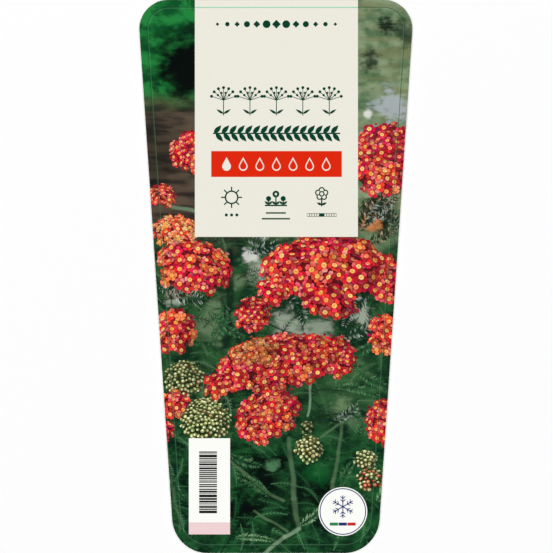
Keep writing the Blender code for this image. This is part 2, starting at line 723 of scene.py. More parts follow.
@dataclass
class Film(Artwork):
    """A closed, very thin sheet of ink. Each piece of print says what its outline is and draws itself.

    Attributes:
        ink: The material that the trees set on the marks that they repeat.
    """

    name: ClassVar[str]
    ink: Material

    def outline(self) -> Array:
        """Its edge, counter-clockwise."""
        raise NotImplementedError

    def draw(self) -> None:
        """Lays its shapes."""
        raise NotImplementedError

    def build(self, low: float, high: float) -> Object:
        """Draws the piece and cuts its shapes into the upper face of its film.

        Args:
            low: Height of its underside in metres.
            high: Height of its printed face in metres.

        Returns:
            Its object, with its ink colours and its own UV map.
        """
        self.draw()
        flat, triangles, colours = self.flatten(self.outline())
        loop = self.rim(triangles)
        flat = flat * MM
        top = np.column_stack([flat, np.full(len(flat), high)])
        under = np.column_stack([flat[loop], np.full(len(loop), low)])
        below = [len(top) + place for place in range(len(loop))]
        after = loop[1:] + loop[:1]
        below_after = below[1:] + below[:1]
        walls = [[b, c, d, a] for a, b, c, d in zip(loop, below, below_after, after)]
        faces = triangles.tolist() + walls + [below[::-1]]
        mesh = bpy.data.meshes.new(self.name)
        mesh.from_pydata(np.concatenate([top, under]).tolist(), [], faces)
        self.colour(mesh, colours)
        self.unwrap(mesh, len(triangles))
        return add_object(self.name, mesh)

    @staticmethod
    def rim(triangles: Array) -> list[int]:
        """The points around the film's edge, in the order that its faces turn.

        Args:
            triangles: The film's triangles.

        Returns:
            The points' places, each once.
        """
        edges = {(int(a), int(b)) for t in triangles for a, b in zip(t, (t[1], t[2], t[0]))}
        following = {a: b for a, b in edges if (b, a) not in edges}
        start = next(iter(following))
        loop = [start]
        while following[loop[-1]] != start:
            loop.append(following[loop[-1]])
        return loop

    @staticmethod
    def colour(mesh: Mesh, colours: Array) -> None:
        """Stores the ink of each face's corner. Walls and underside stay bare.

        Args:
            mesh: The film's mesh.
            colours: Linear colour and alpha for each corner of the printed face.
        """
        ink = mesh.color_attributes.new(INK_ATTRIBUTE, "FLOAT_COLOR", "CORNER")
        values = np.zeros((len(mesh.loops), 4), np.float32)
        values[: colours.size // 4] = colours.reshape(-1, 4)
        ink.data.foreach_set("color", values.ravel())

    @staticmethod
    def unwrap(mesh: Mesh, top_faces: int) -> None:
        """Unwraps the printed face flat over nearly the whole map, and the rest into its free strip.

        Args:
            mesh: The film's mesh.
            top_faces: How many of its faces, the first ones, are the printed face.
        """
        layer = mesh.uv_layers.new(name=BAKE_MAP)
        places = mesh_points(mesh)[[loop.vertex_index for loop in mesh.loops]]
        low, high = places.min(0)[:2], places.max(0)[:2]
        share = (places[:, :2] - low) / (high - low)
        uv = MAP_EDGE + share * (MAP_TOP_SHARE, 1 - 2 * MAP_EDGE)
        rest = top_faces * 3
        strip = MAP_EDGE * 2 + MAP_TOP_SHARE
        uv[rest:, 0] = strip + share[rest:, 0] * (1 - MAP_EDGE - strip)
        walls = slice(rest, len(uv) - mesh.polygons[-1].loop_total)
        uv[walls, 1] = MAP_EDGE
        layer.data.foreach_set("uv", uv.astype(np.float32).ravel())

    def marks(
        self,
        faces: Sequence[Array],
        start: Point,
        colour: Rgb,
        count: int,
        *,
        first: float = 0.0,
        turn: float = 0.0,
        step: Point = (0.0, 0.0),
    ) -> None:
        """Grows a row or circle of marks and lays them.

        Args:
            faces: The mark's faces, flat.
            start: Where the first mark, or the circle's middle, lies.
            colour: The marks' ink.
            count: How many there are.
            first: The first mark's turn in radians.
            turn: How much further each is turned than the one before.
            step: The way from each mark to the next.
        """
        motif = Motif("mark", [np.column_stack([face, np.zeros(len(face))]) for face in faces])
        sizes = {"Count": count, "Step": (*step, 0.0), "First Angle": first, "Turn": turn}
        for copy in motif.grow(marks_tree(), self.ink, sizes):
            for a, b in motif.spans:
                self.lay(copy[a:b, :2] + np.array(start), colour)
        motif.remove()


def inset(outline: Array, distance: float) -> Array:
    """A convex outline moved inwards by the same distance all round.

    Args:
        outline: Its points, counter-clockwise.
        distance: How far it moves.

    Returns:
        The new outline, with a point for each old one.
    """
    before, after = np.roll(outline, 1, axis=0), np.roll(outline, -1, axis=0)
    along = (outline - before) / np.linalg.norm(outline - before, axis=1, keepdims=True)
    onward = (after - outline) / np.linalg.norm(after - outline, axis=1, keepdims=True)
    inward = np.column_stack([-(along + onward)[:, 1], (along + onward)[:, 0]])
    length = np.linalg.norm(inward, axis=1, keepdims=True)
    return outline + inward / length * distance / (length / 2)


def sheet_outline() -> Array:
    """The edge of the sheet's flat front face.

    Returns:
        Its points, counter-clockwise, in millimetres.
    """
    points = mesh_points(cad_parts[SHEET_NODE].data)
    top = points[points[:, 2] > points[:, 2].max() - 1e-6][:, :2]
    top = np.unique(np.round(top / MM, 4), axis=0)
    order = np.argsort(np.arctan2(top[:, 1] - top[:, 1].mean(), top[:, 0] - top[:, 0].mean()))
    return top[order]


PETALS = 5
PETAL_LIFT = 0.12
PETAL = ((0.24, -0.13), (0.66, -0.41), (0.95, -0.22), (0.90, 0.0), (0.95, 0.22), (0.66, 0.41), (0.24, 0.13))
LEAFLETS_PER_WIDTH = 3.4

# How much of a flower head surely hides what lies behind it.
INNER_SHARE = 0.72


class Bloom(Enum):
    """What grows on a head."""

    OPEN = "open florets"
    BUDS = "closed buds"
    COLOURING = "buds that show their first red"


def petal_face(turn: float, lift: float) -> Array:
    """One broad petal with a notched tip, for a floret of radius 1.

    Args:
        turn: The petal's direction around the floret.
        lift: How far its tip rises.

    Returns:
        Its points, base first and tip in the middle.
    """
    cos, sin = math.cos(turn), math.sin(turn)
    return np.array([(x * cos - y * sin, x * sin + y * cos, lift * x * x) for x, y in PETAL])


def flat_ring(radius: float, count: int, height: float, aside: Point = (0.0, 0.0)) -> Array:
    """A flat many-sided face of a motif, at a height above its middle."""
    return np.column_stack([ring_points(aside, radius, count), np.full(count, height)])


def floret_faces() -> list[Array]:
    """The faces of one floret of radius 1: its shade, its petals, then its eye in three tones.

    Returns:
        Each face's points.
    """
    petals = [petal_face(2 * math.pi * k / PETALS, PETAL_LIFT) for k in range(PETALS)]
    eye = [flat_ring(0.37, 7, 0.2), flat_ring(0.17, 5, 0.24), flat_ring(0.10, 4, 0.26, (0.17, 0.14))]
    return [flat_ring(1.08, 7, -0.25)] + petals + eye


def bud_faces() -> list[Array]:
    """The faces of one closed bud of radius 1: its shade, its body and its lit top."""
    return [flat_ring(1.25, 7, -0.3), flat_ring(0.95, 8, 0.0), flat_ring(0.52, 6, 0.4, (-0.14, 0.2))]


def leaflet_faces() -> list[Array]:
    """A pair of cut leaflets of length 1, one each side of the rib, as two narrow blades a side.

    Returns:
        The four blades, each with its foot first and its tip third.
    """
    faces = []
    for side in (-1.0, 1.0):
        for reach, lean, thick in ((0.70, 0.16, 0.13), (1.0, 0.58, 0.12)):
            tip = np.array([side * reach * math.cos(lean), reach * math.sin(lean) + 0.12])
            across = np.array([-tip[1], tip[0]]) / np.linalg.norm(tip) * thick
            waist = tip * 0.55
            blade = np.array([(0.0, 0.0), waist - across, tip, waist + across])
            faces.append(np.column_stack([blade, np.zeros(len(blade))]))
    return faces


def dome_tree() -> NodeTree:
    """The tree that seats a motif all over a lumpy dome, no two nearer than the spacing.

    Returns:
        The tree.
    """
    graph, want = geometry_tree("head_of_florets", {
        "Half Width": 10.0, "Half Depth": 10.0, "Rise": 4.0, "Lump": 1.0, "Lump Scale": 0.15, "Spacing": 3.0,
        "Motif Radius": 2.0, "Tilt": 0.3, "Seed": 1,
    })
    ball = graph.add("GeometryNodeMeshUVSphere", Segments=40, Rings=20, Radius=1.0)
    size = graph.add("ShaderNodeCombineXYZ", X=want["Half Width"], Y=want["Half Depth"], Z=want["Rise"])
    dome = graph.add("GeometryNodeTransform", Geometry=ball, Scale=size)
    place = graph.add("GeometryNodeInputPosition")
    shifted = graph.vectors("ADD", place, graph.add("ShaderNodeCombineXYZ", Z=want["Seed"]))
    swell = graph.sway(graph.noise(shifted, want["Lump Scale"]), want["Lump"])
    outward = graph.vectors("SCALE", graph.add("GeometryNodeInputNormal"), swell)
    lumpy = graph.add("GeometryNodeSetPosition", Geometry=dome, Offset=outward)
    height = graph.add("ShaderNodeSeparateXYZ", Vector=place).outputs["Z"]
    under = graph.add("FunctionNodeCompare", {"operation": "LESS_THAN"}, A=height, B=0.0)
    cap = graph.add("GeometryNodeDeleteGeometry", Geometry=lumpy, Selection=under)
    density = graph.maths("DIVIDE", 6.0, graph.times(want["Spacing"], want["Spacing"]))
    seats = graph.add(
        "GeometryNodeDistributePointsOnFaces", {"distribute_method": "POISSON"},
        Mesh=cap, Distance_Min=want["Spacing"], Density_Max=density, Seed=want["Seed"],
    )
    most = graph.add("ShaderNodeCombineXYZ", X=want["Tilt"], Y=want["Tilt"], Z=math.pi)
    least = graph.vectors("MULTIPLY", most, (-1.0, -1.0, -1.0))
    lean = graph.chance(least, most, want["Seed"], "FLOAT_VECTOR")
    rotation = turned(graph, seats.outputs["Rotation"], lean)
    scale = graph.times(graph.chance(0.86, 1.16, want["Seed"]), want["Motif Radius"])
    return close_tree(graph, want, seats.outputs["Points"], rotation, scale)


def leaf_tree() -> NodeTree:
    """The tree that sets leaflets along a bent rib, longest in the middle and shorter to the tip.

    Returns:
        The tree.
    """
    graph, want = geometry_tree("feathery_leaf", {
        "Length": 20.0, "Bend": 4.0, "Leaflets": 26, "Leaflet Length": 3.0, "Seed": 1,
    })
    middle = graph.add("ShaderNodeCombineXYZ", X=want["Bend"], Y=graph.times(want["Length"], 0.5))
    end = graph.add("ShaderNodeCombineXYZ", Y=want["Length"])
    rib = graph.add("GeometryNodeCurveQuadraticBezier", Start=(0.0, 0.0, 0.0), Middle=middle, End=end)
    seats = graph.add("GeometryNodeResampleCurve", {"mode": "COUNT"}, Curve=rib, Count=want["Leaflets"])
    along = graph.add("GeometryNodeSplineParameter").outputs["Factor"]
    full = graph.maths("SINE", graph.times(graph.maths("POWER", along, 0.7), math.pi * 0.94))
    size = graph.times(graph.maths("ADD", full, 0.12), want["Leaflet Length"])
    size = graph.times(size, graph.chance(0.7, 1.15, want["Seed"]))
    tangent = graph.add("GeometryNodeInputTangent")
    aim = graph.add("FunctionNodeAlignRotationToVector", {"axis": "Y"}, Vector=tangent)
    lean = graph.add("ShaderNodeCombineXYZ", Z=graph.chance(-0.3, 0.3, want["Seed"]))
    return close_tree(graph, want, seats, turned(graph, aim, lean), size)


@dataclass(frozen=True)
class Head:
    """One flower head of the picture, seen from somewhat above.

    Attributes:
        centre: Where its middle lies on the label.
        half_width: Half of its width.
        half_depth: Half of its depth, away from the viewer.
        rise: How high its dome stands.
        look_down: The viewer's height above its rim, in degrees.
        seed: What makes it unlike the others.
        spacing: Distance between its florets.
        warmth: From 0, crimson and pink, to 1, orange. Above 1 it is faded.
        turn: How far it leans to its left, in degrees.
        light: How brightly it is lit, 1 for most.
        bloom: What grows on it.
    """

    centre: Point
    half_width: float
    half_depth: float
    rise: float
    look_down: float
    seed: int
    spacing: float
    warmth: float = 0.4
    turn: float = 0.0
    light: float = 1.0
    bloom: Bloom = Bloom.OPEN

    def covers(self, points: Array) -> bool:
        """Whether points on the label lie behind the inner part of this head.

        Args:
            points: The points.

        Returns:
            True where they all do.
        """
        down = math.radians(self.look_down)
        height = math.hypot(self.half_depth * math.sin(down), self.rise * math.cos(down))
        away = (points - np.array(self.centre)) / (self.half_width * INNER_SHARE, height * INNER_SHARE)
        return bool((np.hypot(*away.T) < 1.0).all())


CRIMSONS = ((196, 22, 48), (212, 26, 46), (220, 36, 42), (206, 18, 62), (224, 48, 46))
ORANGES = ((224, 56, 44), (230, 84, 52), (216, 44, 44), (234, 112, 64), (222, 52, 56))
FADED = ((228, 116, 66), (234, 150, 88), (216, 82, 52), (240, 178, 112), (222, 134, 66))
PINK_TIP = (248, 158, 146)
PETAL_FOOT = (236, 120, 60)
MAGENTA = (212, 18, 104)
EYE_TONES = ((244, 178, 92), (240, 160, 76), (248, 198, 116), (228, 160, 70), (238, 132, 84))
EYE_HEART = (170, 92, 40)
EYE_GLINT = (255, 232, 168)
GAP_SHADE = (64, 6, 14)
DEEP_RED = (74, 10, 20)
DUSKY_RED = (132, 18, 32)
BUD_SHADE = (18, 34, 18)
BUD_DUSK = (52, 70, 38)
BUD_RUST = (104, 46, 32)
BUD_TONES = ((132, 146, 86), (150, 160, 98), (116, 134, 78), (166, 170, 112))
BUD_TOPS = ((218, 220, 164), (232, 232, 186), (196, 206, 146))
BUD_REDS = ((196, 84, 60), (176, 54, 48), (206, 122, 84))
SUN = Vector((-0.42, -0.30, 0.86)).normalized()


@dataclass
class HeadPainter:
    """Draws flower heads: grows each as a real dome of florets, then looks at it and lays its faces flat."""

    page: Film
    hidden: Callable[[Array], bool]
    ambient: float = 0.66
    sun_share: float = 0.44
    facing_limit: float = 0.30
    deep_petals: int = 3
    faded_share: float = 0.65

    def __post_init__(self) -> None:
        """Makes the motifs and the tree that seats them."""
        self.floret, self.bud = Motif("floret", floret_faces()), Motif("bud", bud_faces())
        self.tree = dome_tree()

    def draw(self, head: Head) -> int:
        """Draws one head over what is already there.

        Args:
            head: The head.

        Returns:
            How many florets or buds show.
        """
        opened = head.bloom is Bloom.OPEN
        radius = head.spacing * (0.80 if opened else 0.56)
        copies = (self.floret if opened else self.bud).grow(self.tree, self.page.ink, {
            "Half Width": head.half_width, "Half Depth": head.half_depth, "Rise": head.rise,
            "Lump": head.half_width * 0.24, "Lump Scale": 3.4 / head.half_width,
            "Spacing": head.spacing, "Motif Radius": radius, "Tilt": 0.34, "Seed": head.seed,
        })
        down, lean = math.radians(head.look_down), math.radians(head.turn)
        toward = np.array([0.0, -math.cos(down), math.sin(down)])
        across = copies[..., 0]
        up = copies[..., 1] * math.sin(down) + (copies[..., 2] - head.rise * 0.5) * math.cos(down)
        flat = np.stack([
            head.centre[0] + across * math.cos(lean) - up * math.sin(lean),
            head.centre[1] + across * math.sin(lean) + up * math.cos(lean),
        ], axis=-1)
        first, second, third = (copies[:, place] for place in range(3))
        normals = np.cross(second - first, third - first)
        normals /= np.linalg.norm(normals, axis=1, keepdims=True)
        shown = 0
        dice = random.Random(head.seed)
        self.lay_depths(flat[normals @ toward > -0.05].mean(1), head, radius, dice)
        for row in np.argsort(copies[:, 0] @ toward):
            sun = max(0.0, float(Vector(normals[row]).dot(SUN)))
            light = head.light * (self.ambient + self.sun_share * sun)
            light *= dice.uniform(0.9, 1.1)
            if float(normals[row] @ toward) < self.facing_limit or self.hidden(flat[row]):
                continue
            shown += 1
            if opened:
                self.lay_floret(flat[row], light, head.warmth, dice)
            else:
                self.lay_bud(flat[row], light, head.bloom, dice)
        return shown

    def lay_depths(self, middles: Array, head: Head, radius: float, dice: random.Random) -> None:
        """Lays what shows between the florets: a dark ground, then loose petals or buds deeper in the head.

        Args:
            middles: The middles of the florets that face the viewer.
            head: The head.
            radius: A floret's radius.
            dice: The head's own random numbers.
        """
        middle = middles.mean(0)
        ground = middle + (hull(middles) - middle) * 0.97
        low, high = ground[ground[:, 1].argmin()], ground[ground[:, 1].argmax()]
        opened = head.bloom is Bloom.OPEN
        shade, pale = (DEEP_RED, DUSKY_RED) if opened else (BUD_SHADE, BUD_DUSK)
        self.page.lay(ground, lit(shade, head.light), 0.92, (low, high, lit(pale, head.light), 0.92))
        tones = (FADED if head.warmth > 1.0 else CRIMSONS + (MAGENTA, PINK_TIP)) if opened else BUD_TONES
        for root in middle + (middles - middle) * 0.94:
            for _ in range(self.deep_petals):
                turn, reach = dice.uniform(0, 2 * math.pi), radius * dice.uniform(0.6, 1.0)
                aside = np.array([dice.uniform(-1, 1), dice.uniform(-1, 1)]) * radius * 0.45
                petal = petal_face(turn, 0.0)[:, :2] * np.array([1.0, 0.75]) * reach + root + aside
                if not self.hidden(petal):
                    self.page.lay(petal, lit(dice.choice(tones), head.light * dice.uniform(0.45, 0.95)))

    def lay_floret(self, flat: Array, light: float, warmth: float, dice: random.Random) -> None:
        """Lays one open floret: shade, petals from base to tip, then the eye.

        Args:
            flat: Its points on the label.
            light: How brightly it is lit.
            warmth: Its head's warmth.
            dice: Its head's random numbers.
        """
        faces = [flat[a:b] for a, b in self.floret.spans]
        self.page.lay(faces[0], GAP_SHADE, 0.42)
        tone = dice.choice(ORANGES if dice.random() < warmth else CRIMSONS)
        if warmth > 1.0 and dice.random() < self.faded_share:
            tone = dice.choice(FADED)
        for petal in faces[1 : 1 + PETALS]:
            base = blend(tone, PETAL_FOOT, 0.16)
            tip = blend(tone, PINK_TIP, max(0.0, dice.uniform(-1.1, 0.9)))
            own = blend(base, MAGENTA, 0.8 if dice.random() < 0.22 * (1.3 - warmth) else 0.0)
            glow = light * dice.uniform(0.74, 1.16)
            middle = petal[[0, -1]].mean(0)
            self.page.lay(petal, lit(own, glow * 0.9), 1.0, (middle, petal[3], lit(tip, glow * 1.06), 1.0))
        eye = dice.choice(EYE_TONES)
        shine = min(1.08, light * 1.05)
        colours = (eye, blend(eye, EYE_HEART, 0.6), EYE_GLINT)
        for face, colour, alpha in zip(faces[-3:], colours, (1.0, 0.7, 0.9)):
            self.page.lay(face, lit(colour, shine), alpha)

    def lay_bud(self, flat: Array, light: float, bloom: Bloom, dice: random.Random) -> None:
        """Lays one closed bud: shade, body lit from above, and its pale top.

        Args:
            flat: Its points on the label.
            light: How brightly it is lit.
            bloom: What grows on its head.
            dice: Its head's random numbers.
        """
        shade, body, top = (flat[a:b] for a, b in self.bud.spans)
        self.page.lay(shade, BUD_RUST if dice.random() < 0.3 else BUD_SHADE, 0.75)
        red = bloom is Bloom.COLOURING and dice.random() < 0.55
        tone = dice.choice(BUD_REDS if red else BUD_TONES)
        low, high = body[body[:, 1].argmin()], body[body[:, 1].argmax()]
        self.page.lay(body, lit(tone, light * 0.62), 1.0, (low, high, lit(tone, light * 1.15), 1.0))
        self.page.lay(top, lit(blend(dice.choice(BUD_TOPS), tone, 0.35 if red else 0.0), light * 1.05), 0.95)


class Foliage(Enum):
    """How a leaf is coloured: its root, its middle, its palest tips and the share of pale blades."""

    GREEN = ((16, 58, 34), (50, 104, 62), (116, 152, 108), 0.45)
    BRIGHT = ((30, 84, 48), (92, 142, 92), (172, 200, 158), 0.6)
    FROSTED = ((8, 24, 16), (26, 60, 42), (208, 218, 206), 0.42)
    RUSTY = ((12, 26, 14), (54, 58, 34), (222, 190, 164), 0.42)


@dataclass(frozen=True)
class Leaf:
    """One feathery leaf of the picture.

    Attributes:
        root: Where its rib starts.
        heading: The way it points, in degrees from straight right.
        length: The rib's length.
        bend: How far the rib bows to its right.
        width: The longest leaflet.
        foliage: How it is coloured.
        seed: What makes it unlike the others.
    """

    root: Point
    heading: float
    length: float
    bend: float
    width: float
    foliage: Foliage
    seed: int


@dataclass
class LeafPainter:
    """Draws feathery leaves."""

    page: Film
    hidden: Callable[[Array], bool]

    def __post_init__(self) -> None:
        """Makes the leaflets and the tree that sets them along a rib."""
        self.leaflet, self.tree = Motif("leaflet_pair", leaflet_faces()), leaf_tree()

    def draw(self, leaf: Leaf) -> None:
        """Draws one leaf over what is already there.

        Args:
            leaf: The leaf.
        """
        copies = self.leaflet.grow(self.tree, self.page.ink, {
            "Length": leaf.length, "Bend": leaf.bend, "Leaflet Length": leaf.width, "Seed": leaf.seed,
            "Leaflets": round(leaf.length / leaf.width * LEAFLETS_PER_WIDTH),
        })
        turn = math.radians(leaf.heading - 90)
        cos, sin = math.cos(turn), math.sin(turn)
        flat = np.stack([
            leaf.root[0] + copies[..., 0] * cos - copies[..., 1] * sin,
            leaf.root[1] + copies[..., 0] * sin + copies[..., 1] * cos,
        ], axis=-1)
        deep, middle, pale, pale_share = leaf.foliage.value
        dice = random.Random(leaf.seed)
        for copy in flat:
            for a, b in self.leaflet.spans:
                blade = copy[a:b]
                tip = pale if dice.random() < pale_share else middle
                tip = lit(blend(middle, tip, dice.uniform(0.55, 1.0)), dice.uniform(0.85, 1.1))
                start = deep if tip != pale else middle
                if not self.hidden(blade):
                    self.page.lay(blade, start, 0.92, (blade[0], blade[2], tip, 0.92))


def drop_outline(centre: Point, size: float) -> Array:
    """A water drop: a round foot that narrows to a point above.

    Args:
        centre: Middle of its round foot.
        size: The foot's radius.

    Returns:
        Its outline.
    """
    angles = np.linspace(math.radians(150), math.radians(390), 15)
    foot = np.column_stack([np.cos(angles), np.sin(angles)])
    return np.vstack([foot, [(0.0, 2.1)]]) * size + np.array(centre)


def leaf_outline(length: float, width: float, turn: float, root: Point = (0.0, 0.0)) -> Array:
    """A plain pointed leaf.

    Args:
        length: Its length.
        width: Its greatest width.
        turn: The way it points, in degrees from straight right.
        root: Where it starts.

    Returns:
        Its outline.
    """
    along = np.linspace(0, 1, 8)
    swell = np.sin(along**0.8 * math.pi) * width / 2
    upper = np.column_stack([along * length, swell])
    lower = np.column_stack([along * length, -swell])[-2:0:-1]
    cos, sin = math.cos(math.radians(turn)), math.sin(math.radians(turn))
    return np.vstack([upper, lower]) @ np.array([[cos, sin], [-sin, cos]]) + np.array(root)


# How far under a panel's edge a shape must lie to be left out.
OVERLAP = 0.4


@dataclass(frozen=True)
class Area:
    """An upright rectangle of the print."""

    left: float
    bottom: float
    right: float
    top: float

    def outline(self) -> Array:
        """Its four corners."""
        return box_points(self.left, self.bottom, self.right, self.top)

    def covers(self, points: Array) -> bool:
        """Whether every point lies inside it, clear of its edge."""
        low, high = (self.left, self.bottom), (self.right, self.top)
        return bool((points > np.add(low, OVERLAP)).all() and (points < np.subtract(high, OVERLAP)).all())


INFO_AREA = Area(-32.2, 15.7, 32.6, 109.85)
CODE_AREA = Area(-34.6, -102.5, -18.2, -64.3)
BADGE_CENTRE = (26.6, -93.4)
BADGE_RADIUS = 9.7


@dataclass
class GardenPicture(Film):
    """The picture that fills the label: red yarrow in front of a soft, dark garden.

    Attributes:
        side: Half of the label's width at its middle, with a margin.
        taper: How much wider each half gets on the way up.
        lines: How far inside the edge each thin line lies, its colour and how much it hides.
    """

    name = "garden_picture"
    side: float = 48.2
    taper: float = 0.0671
    reach: float = 111.0
    line_width: float = 0.36
    lines: tuple[tuple[float, Rgb, float], ...] = ((2.85, (16, 70, 44), 0.6), (3.21, (140, 190, 150), 0.12))
    heads: tuple[Head, ...] = (
        Head((-31.0, 50.5), 10.8, 11.0, 5.0, 50, 11, 2.2, 0.3, turn=-6),
        Head((43.5, 48.0), 14.5, 17.6, 6.5, 54, 12, 2.9, 0.25, turn=4),
        Head((-46.0, 32.5), 5.8, 7.5, 3.5, 38, 13, 2.0, 0.8),
        Head((-40.5, 19.0), 9.0, 8.5, 4.0, 46, 14, 2.3, 1.2, light=1.08),
        Head((-32.5, 4.8), 15.0, 13.0, 6.0, 52, 15, 3.0, 0.35, turn=-8),
        Head((44.5, -22.5), 8.0, 10.0, 5.0, 50, 16, 2.7, 0.8),
        Head((42.0, 1.0), 8.5, 12.0, 4.5, 54, 30, 3.0, 0.35),
        Head((19.5, 4.8), 24.5, 15.5, 7.5, 54, 17, 3.45, 0.22, turn=2),
        Head((-1.0, -5.5), 5.6, 7.0, 3.5, 52, 31, 2.9, 0.15),
        Head((21.5, -9.0), 10.5, 7.5, 4.0, 54, 32, 3.4, 0.12, turn=-6),
        Head((-40.0, -20.5), 8.0, 11.0, 5.0, 52, 18, 2.8, 0.55),
        Head((-9.3, -14.3), 6.8, 8.8, 5.0, 52, 19, 2.1, 0.05, light=0.95),
        Head((-36.5, -39.5), 8.2, 9.3, 4.0, 50, 20, 1.42, light=0.9, bloom=Bloom.BUDS),
        Head((-40.5, -50.3), 6.4, 7.4, 4.0, 46, 21, 2.5, 0.7),
        Head((22.5, -30.8), 8.6, 10.8, 4.5, 48, 33, 2.6, 0.2, turn=-4),
        Head((0.6, -32.6), 24.3, 14.2, 7.5, 46, 22, 2.75, 0.5, turn=10, light=0.93),
        Head((-8.5, -29.5), 9.5, 7.0, 4.0, 46, 34, 2.2, 1.1, turn=12, light=0.86),
        Head((-20.0, -42.0), 8.5, 6.8, 4.0, 48, 35, 2.7, 0.45, turn=14),
        Head((43.5, -57.4), 7.6, 11.3, 4.0, 54, 23, 2.4, 0.1),
        Head((-43.5, -61.0), 2.8, 4.8, 2.0, 46, 36, 2.3, 0.15),
        Head((-4.4, -54.6), 13.6, 12.2, 5.5, 50, 24, 2.6, 0.4, turn=30, light=0.95),
        Head((-27.8, -56.2), 10.2, 11.0, 5.0, 52, 25, 1.45, light=1.02, bloom=Bloom.BUDS),
        Head((12.4, -59.6), 2.6, 3.3, 2.0, 50, 26, 1.45, light=0.8, bloom=Bloom.BUDS),
        Head((13.2, -67.8), 5.4, 7.0, 4.0, 54, 27, 1.5, light=1.0, bloom=Bloom.BUDS),
        Head((35.6, -72.2), 4.7, 5.2, 3.0, 46, 28, 1.45, light=1.02, bloom=Bloom.BUDS),
        Head((37.4, -79.8), 5.9, 6.3, 3.0, 46, 29, 1.5, bloom=Bloom.COLOURING),
    )
    leaves: tuple[Leaf, ...] = (
        Leaf((30.0, 26.5), 20, 20, 3, 4.8, Foliage.RUSTY, 31),
        Leaf((33.0, 17.0), 52, 19, -3, 4.4, Foliage.RUSTY, 32),
        Leaf((49.0, 17.5), 128, 15, 2, 4.2, Foliage.FROSTED, 33),
        Leaf((33.5, 31.0), -32, 16, -2, 4.2, Foliage.RUSTY, 54),
        Leaf((47.0, 31.5), 226, 17, 2, 2.8, Foliage.FROSTED, 55),
        Leaf((36.0, 13.5), 28, 13, 2, 2.8, Foliage.RUSTY, 56),
        Leaf((-47.0, -3.5), -16, 21, 3, 3.8, Foliage.FROSTED, 34),
        Leaf((-45.0, -9.5), 12, 15, -3, 3.0, Foliage.RUSTY, 35),
        Leaf((-13.0, 15.5), -24, 17, -2, 3.6, Foliage.FROSTED, 36),
        Leaf((-11.0, 9.5), 22, 13, 2, 2.8, Foliage.FROSTED, 37),
        Leaf((5.0, -8.5), -58, 13, -2, 3.4, Foliage.FROSTED, 38),
        Leaf((37.5, -7.0), 232, 17, 3, 3.4, Foliage.FROSTED, 39),
        Leaf((25.0, -24.0), 24, 19, 3, 3.0, Foliage.FROSTED, 40),
        Leaf((39.0, -26.0), 206, 14, -2, 2.6, Foliage.GREEN, 41),
        Leaf((-27.0, -13.0), -38, 18, 3, 3.0, Foliage.GREEN, 42),
        Leaf((-20.0, -10.0), 250, 19, -3, 3.2, Foliage.GREEN, 43),
        Leaf((-18.5, -70.5), -20, 14, 2, 2.4, Foliage.GREEN, 44),
        Leaf((9.0, -99.0), 44, 15, 3, 2.3, Foliage.BRIGHT, 45),
        Leaf((-16.5, -104.0), -5, 16, -2, 1.9, Foliage.BRIGHT, 46),
        Leaf((31.0, -36.0), -28, 18, 3, 2.6, Foliage.GREEN, 47),
        Leaf((22.0, -44.0), -12, 20, -3, 2.4, Foliage.GREEN, 48),
        Leaf((35.0, -64.0), 118, 16, 3, 2.4, Foliage.GREEN, 49),
        Leaf((22.0, -58.0), 34, 14, 2, 2.4, Foliage.FROSTED, 57),
        Leaf((-2.0, -88.0), 148, 18, 3, 2.4, Foliage.GREEN, 50),
        Leaf((26.0, -84.0), 62, 13, -2, 2.2, Foliage.GREEN, 51),
        Leaf((-44.0, -70.0), -68, 20, 3, 2.6, Foliage.GREEN, 52),
        Leaf((40.0, -90.0), 70, 12, 2, 2.4, Foliage.BRIGHT, 53),
    )

    def outline(self) -> Array:
        """The edge of the sheet's flat front face."""
        return sheet_outline()

    def draw(self) -> None:
        """Draws the leaves, then the heads over them, then the thin lines inside the edge."""
        heads, leaves = HeadPainter(self, self.hidden), LeafPainter(self, self.behind_heads)
        for leaf in self.leaves:
            leaves.draw(leaf)
        for head in self.heads:
            LOG.info("head %d: %d drawn", head.seed, heads.draw(head))
        for motif in (heads.floret, heads.bud, leaves.leaflet):
            motif.remove()
        for distance, colour, alpha in self.lines:
            outer, inner = (inset(self.outline(), d) for d in (distance, distance + self.line_width))
            for k in range(len(outer)):
                after = (k + 1) % len(outer)
                self.lay([outer[k], outer[after], inner[after], inner[k]], colour, alpha)

    def hidden(self, points: Array) -> bool:
        """Whether points are all under a panel or off the label.

        Args:
            points: The points of one shape.

        Returns:
            True where nothing of the shape would show.
        """
        x, y = np.abs(points[:, 0]).min(), points[:, 1].mean()
        off = x > self.side + y * self.taper or abs(y) > self.reach
        badge = np.hypot(*(points - np.array(BADGE_CENTRE)).T).max() < BADGE_RADIUS - OVERLAP
        return bool(off or badge or INFO_AREA.covers(points) or CODE_AREA.covers(points))

    def behind_heads(self, points: Array) -> bool:
        """Whether points are under a panel, off the label or well inside a flower head."""
        return self.hidden(points) or any(head.covers(points) for head in self.heads)


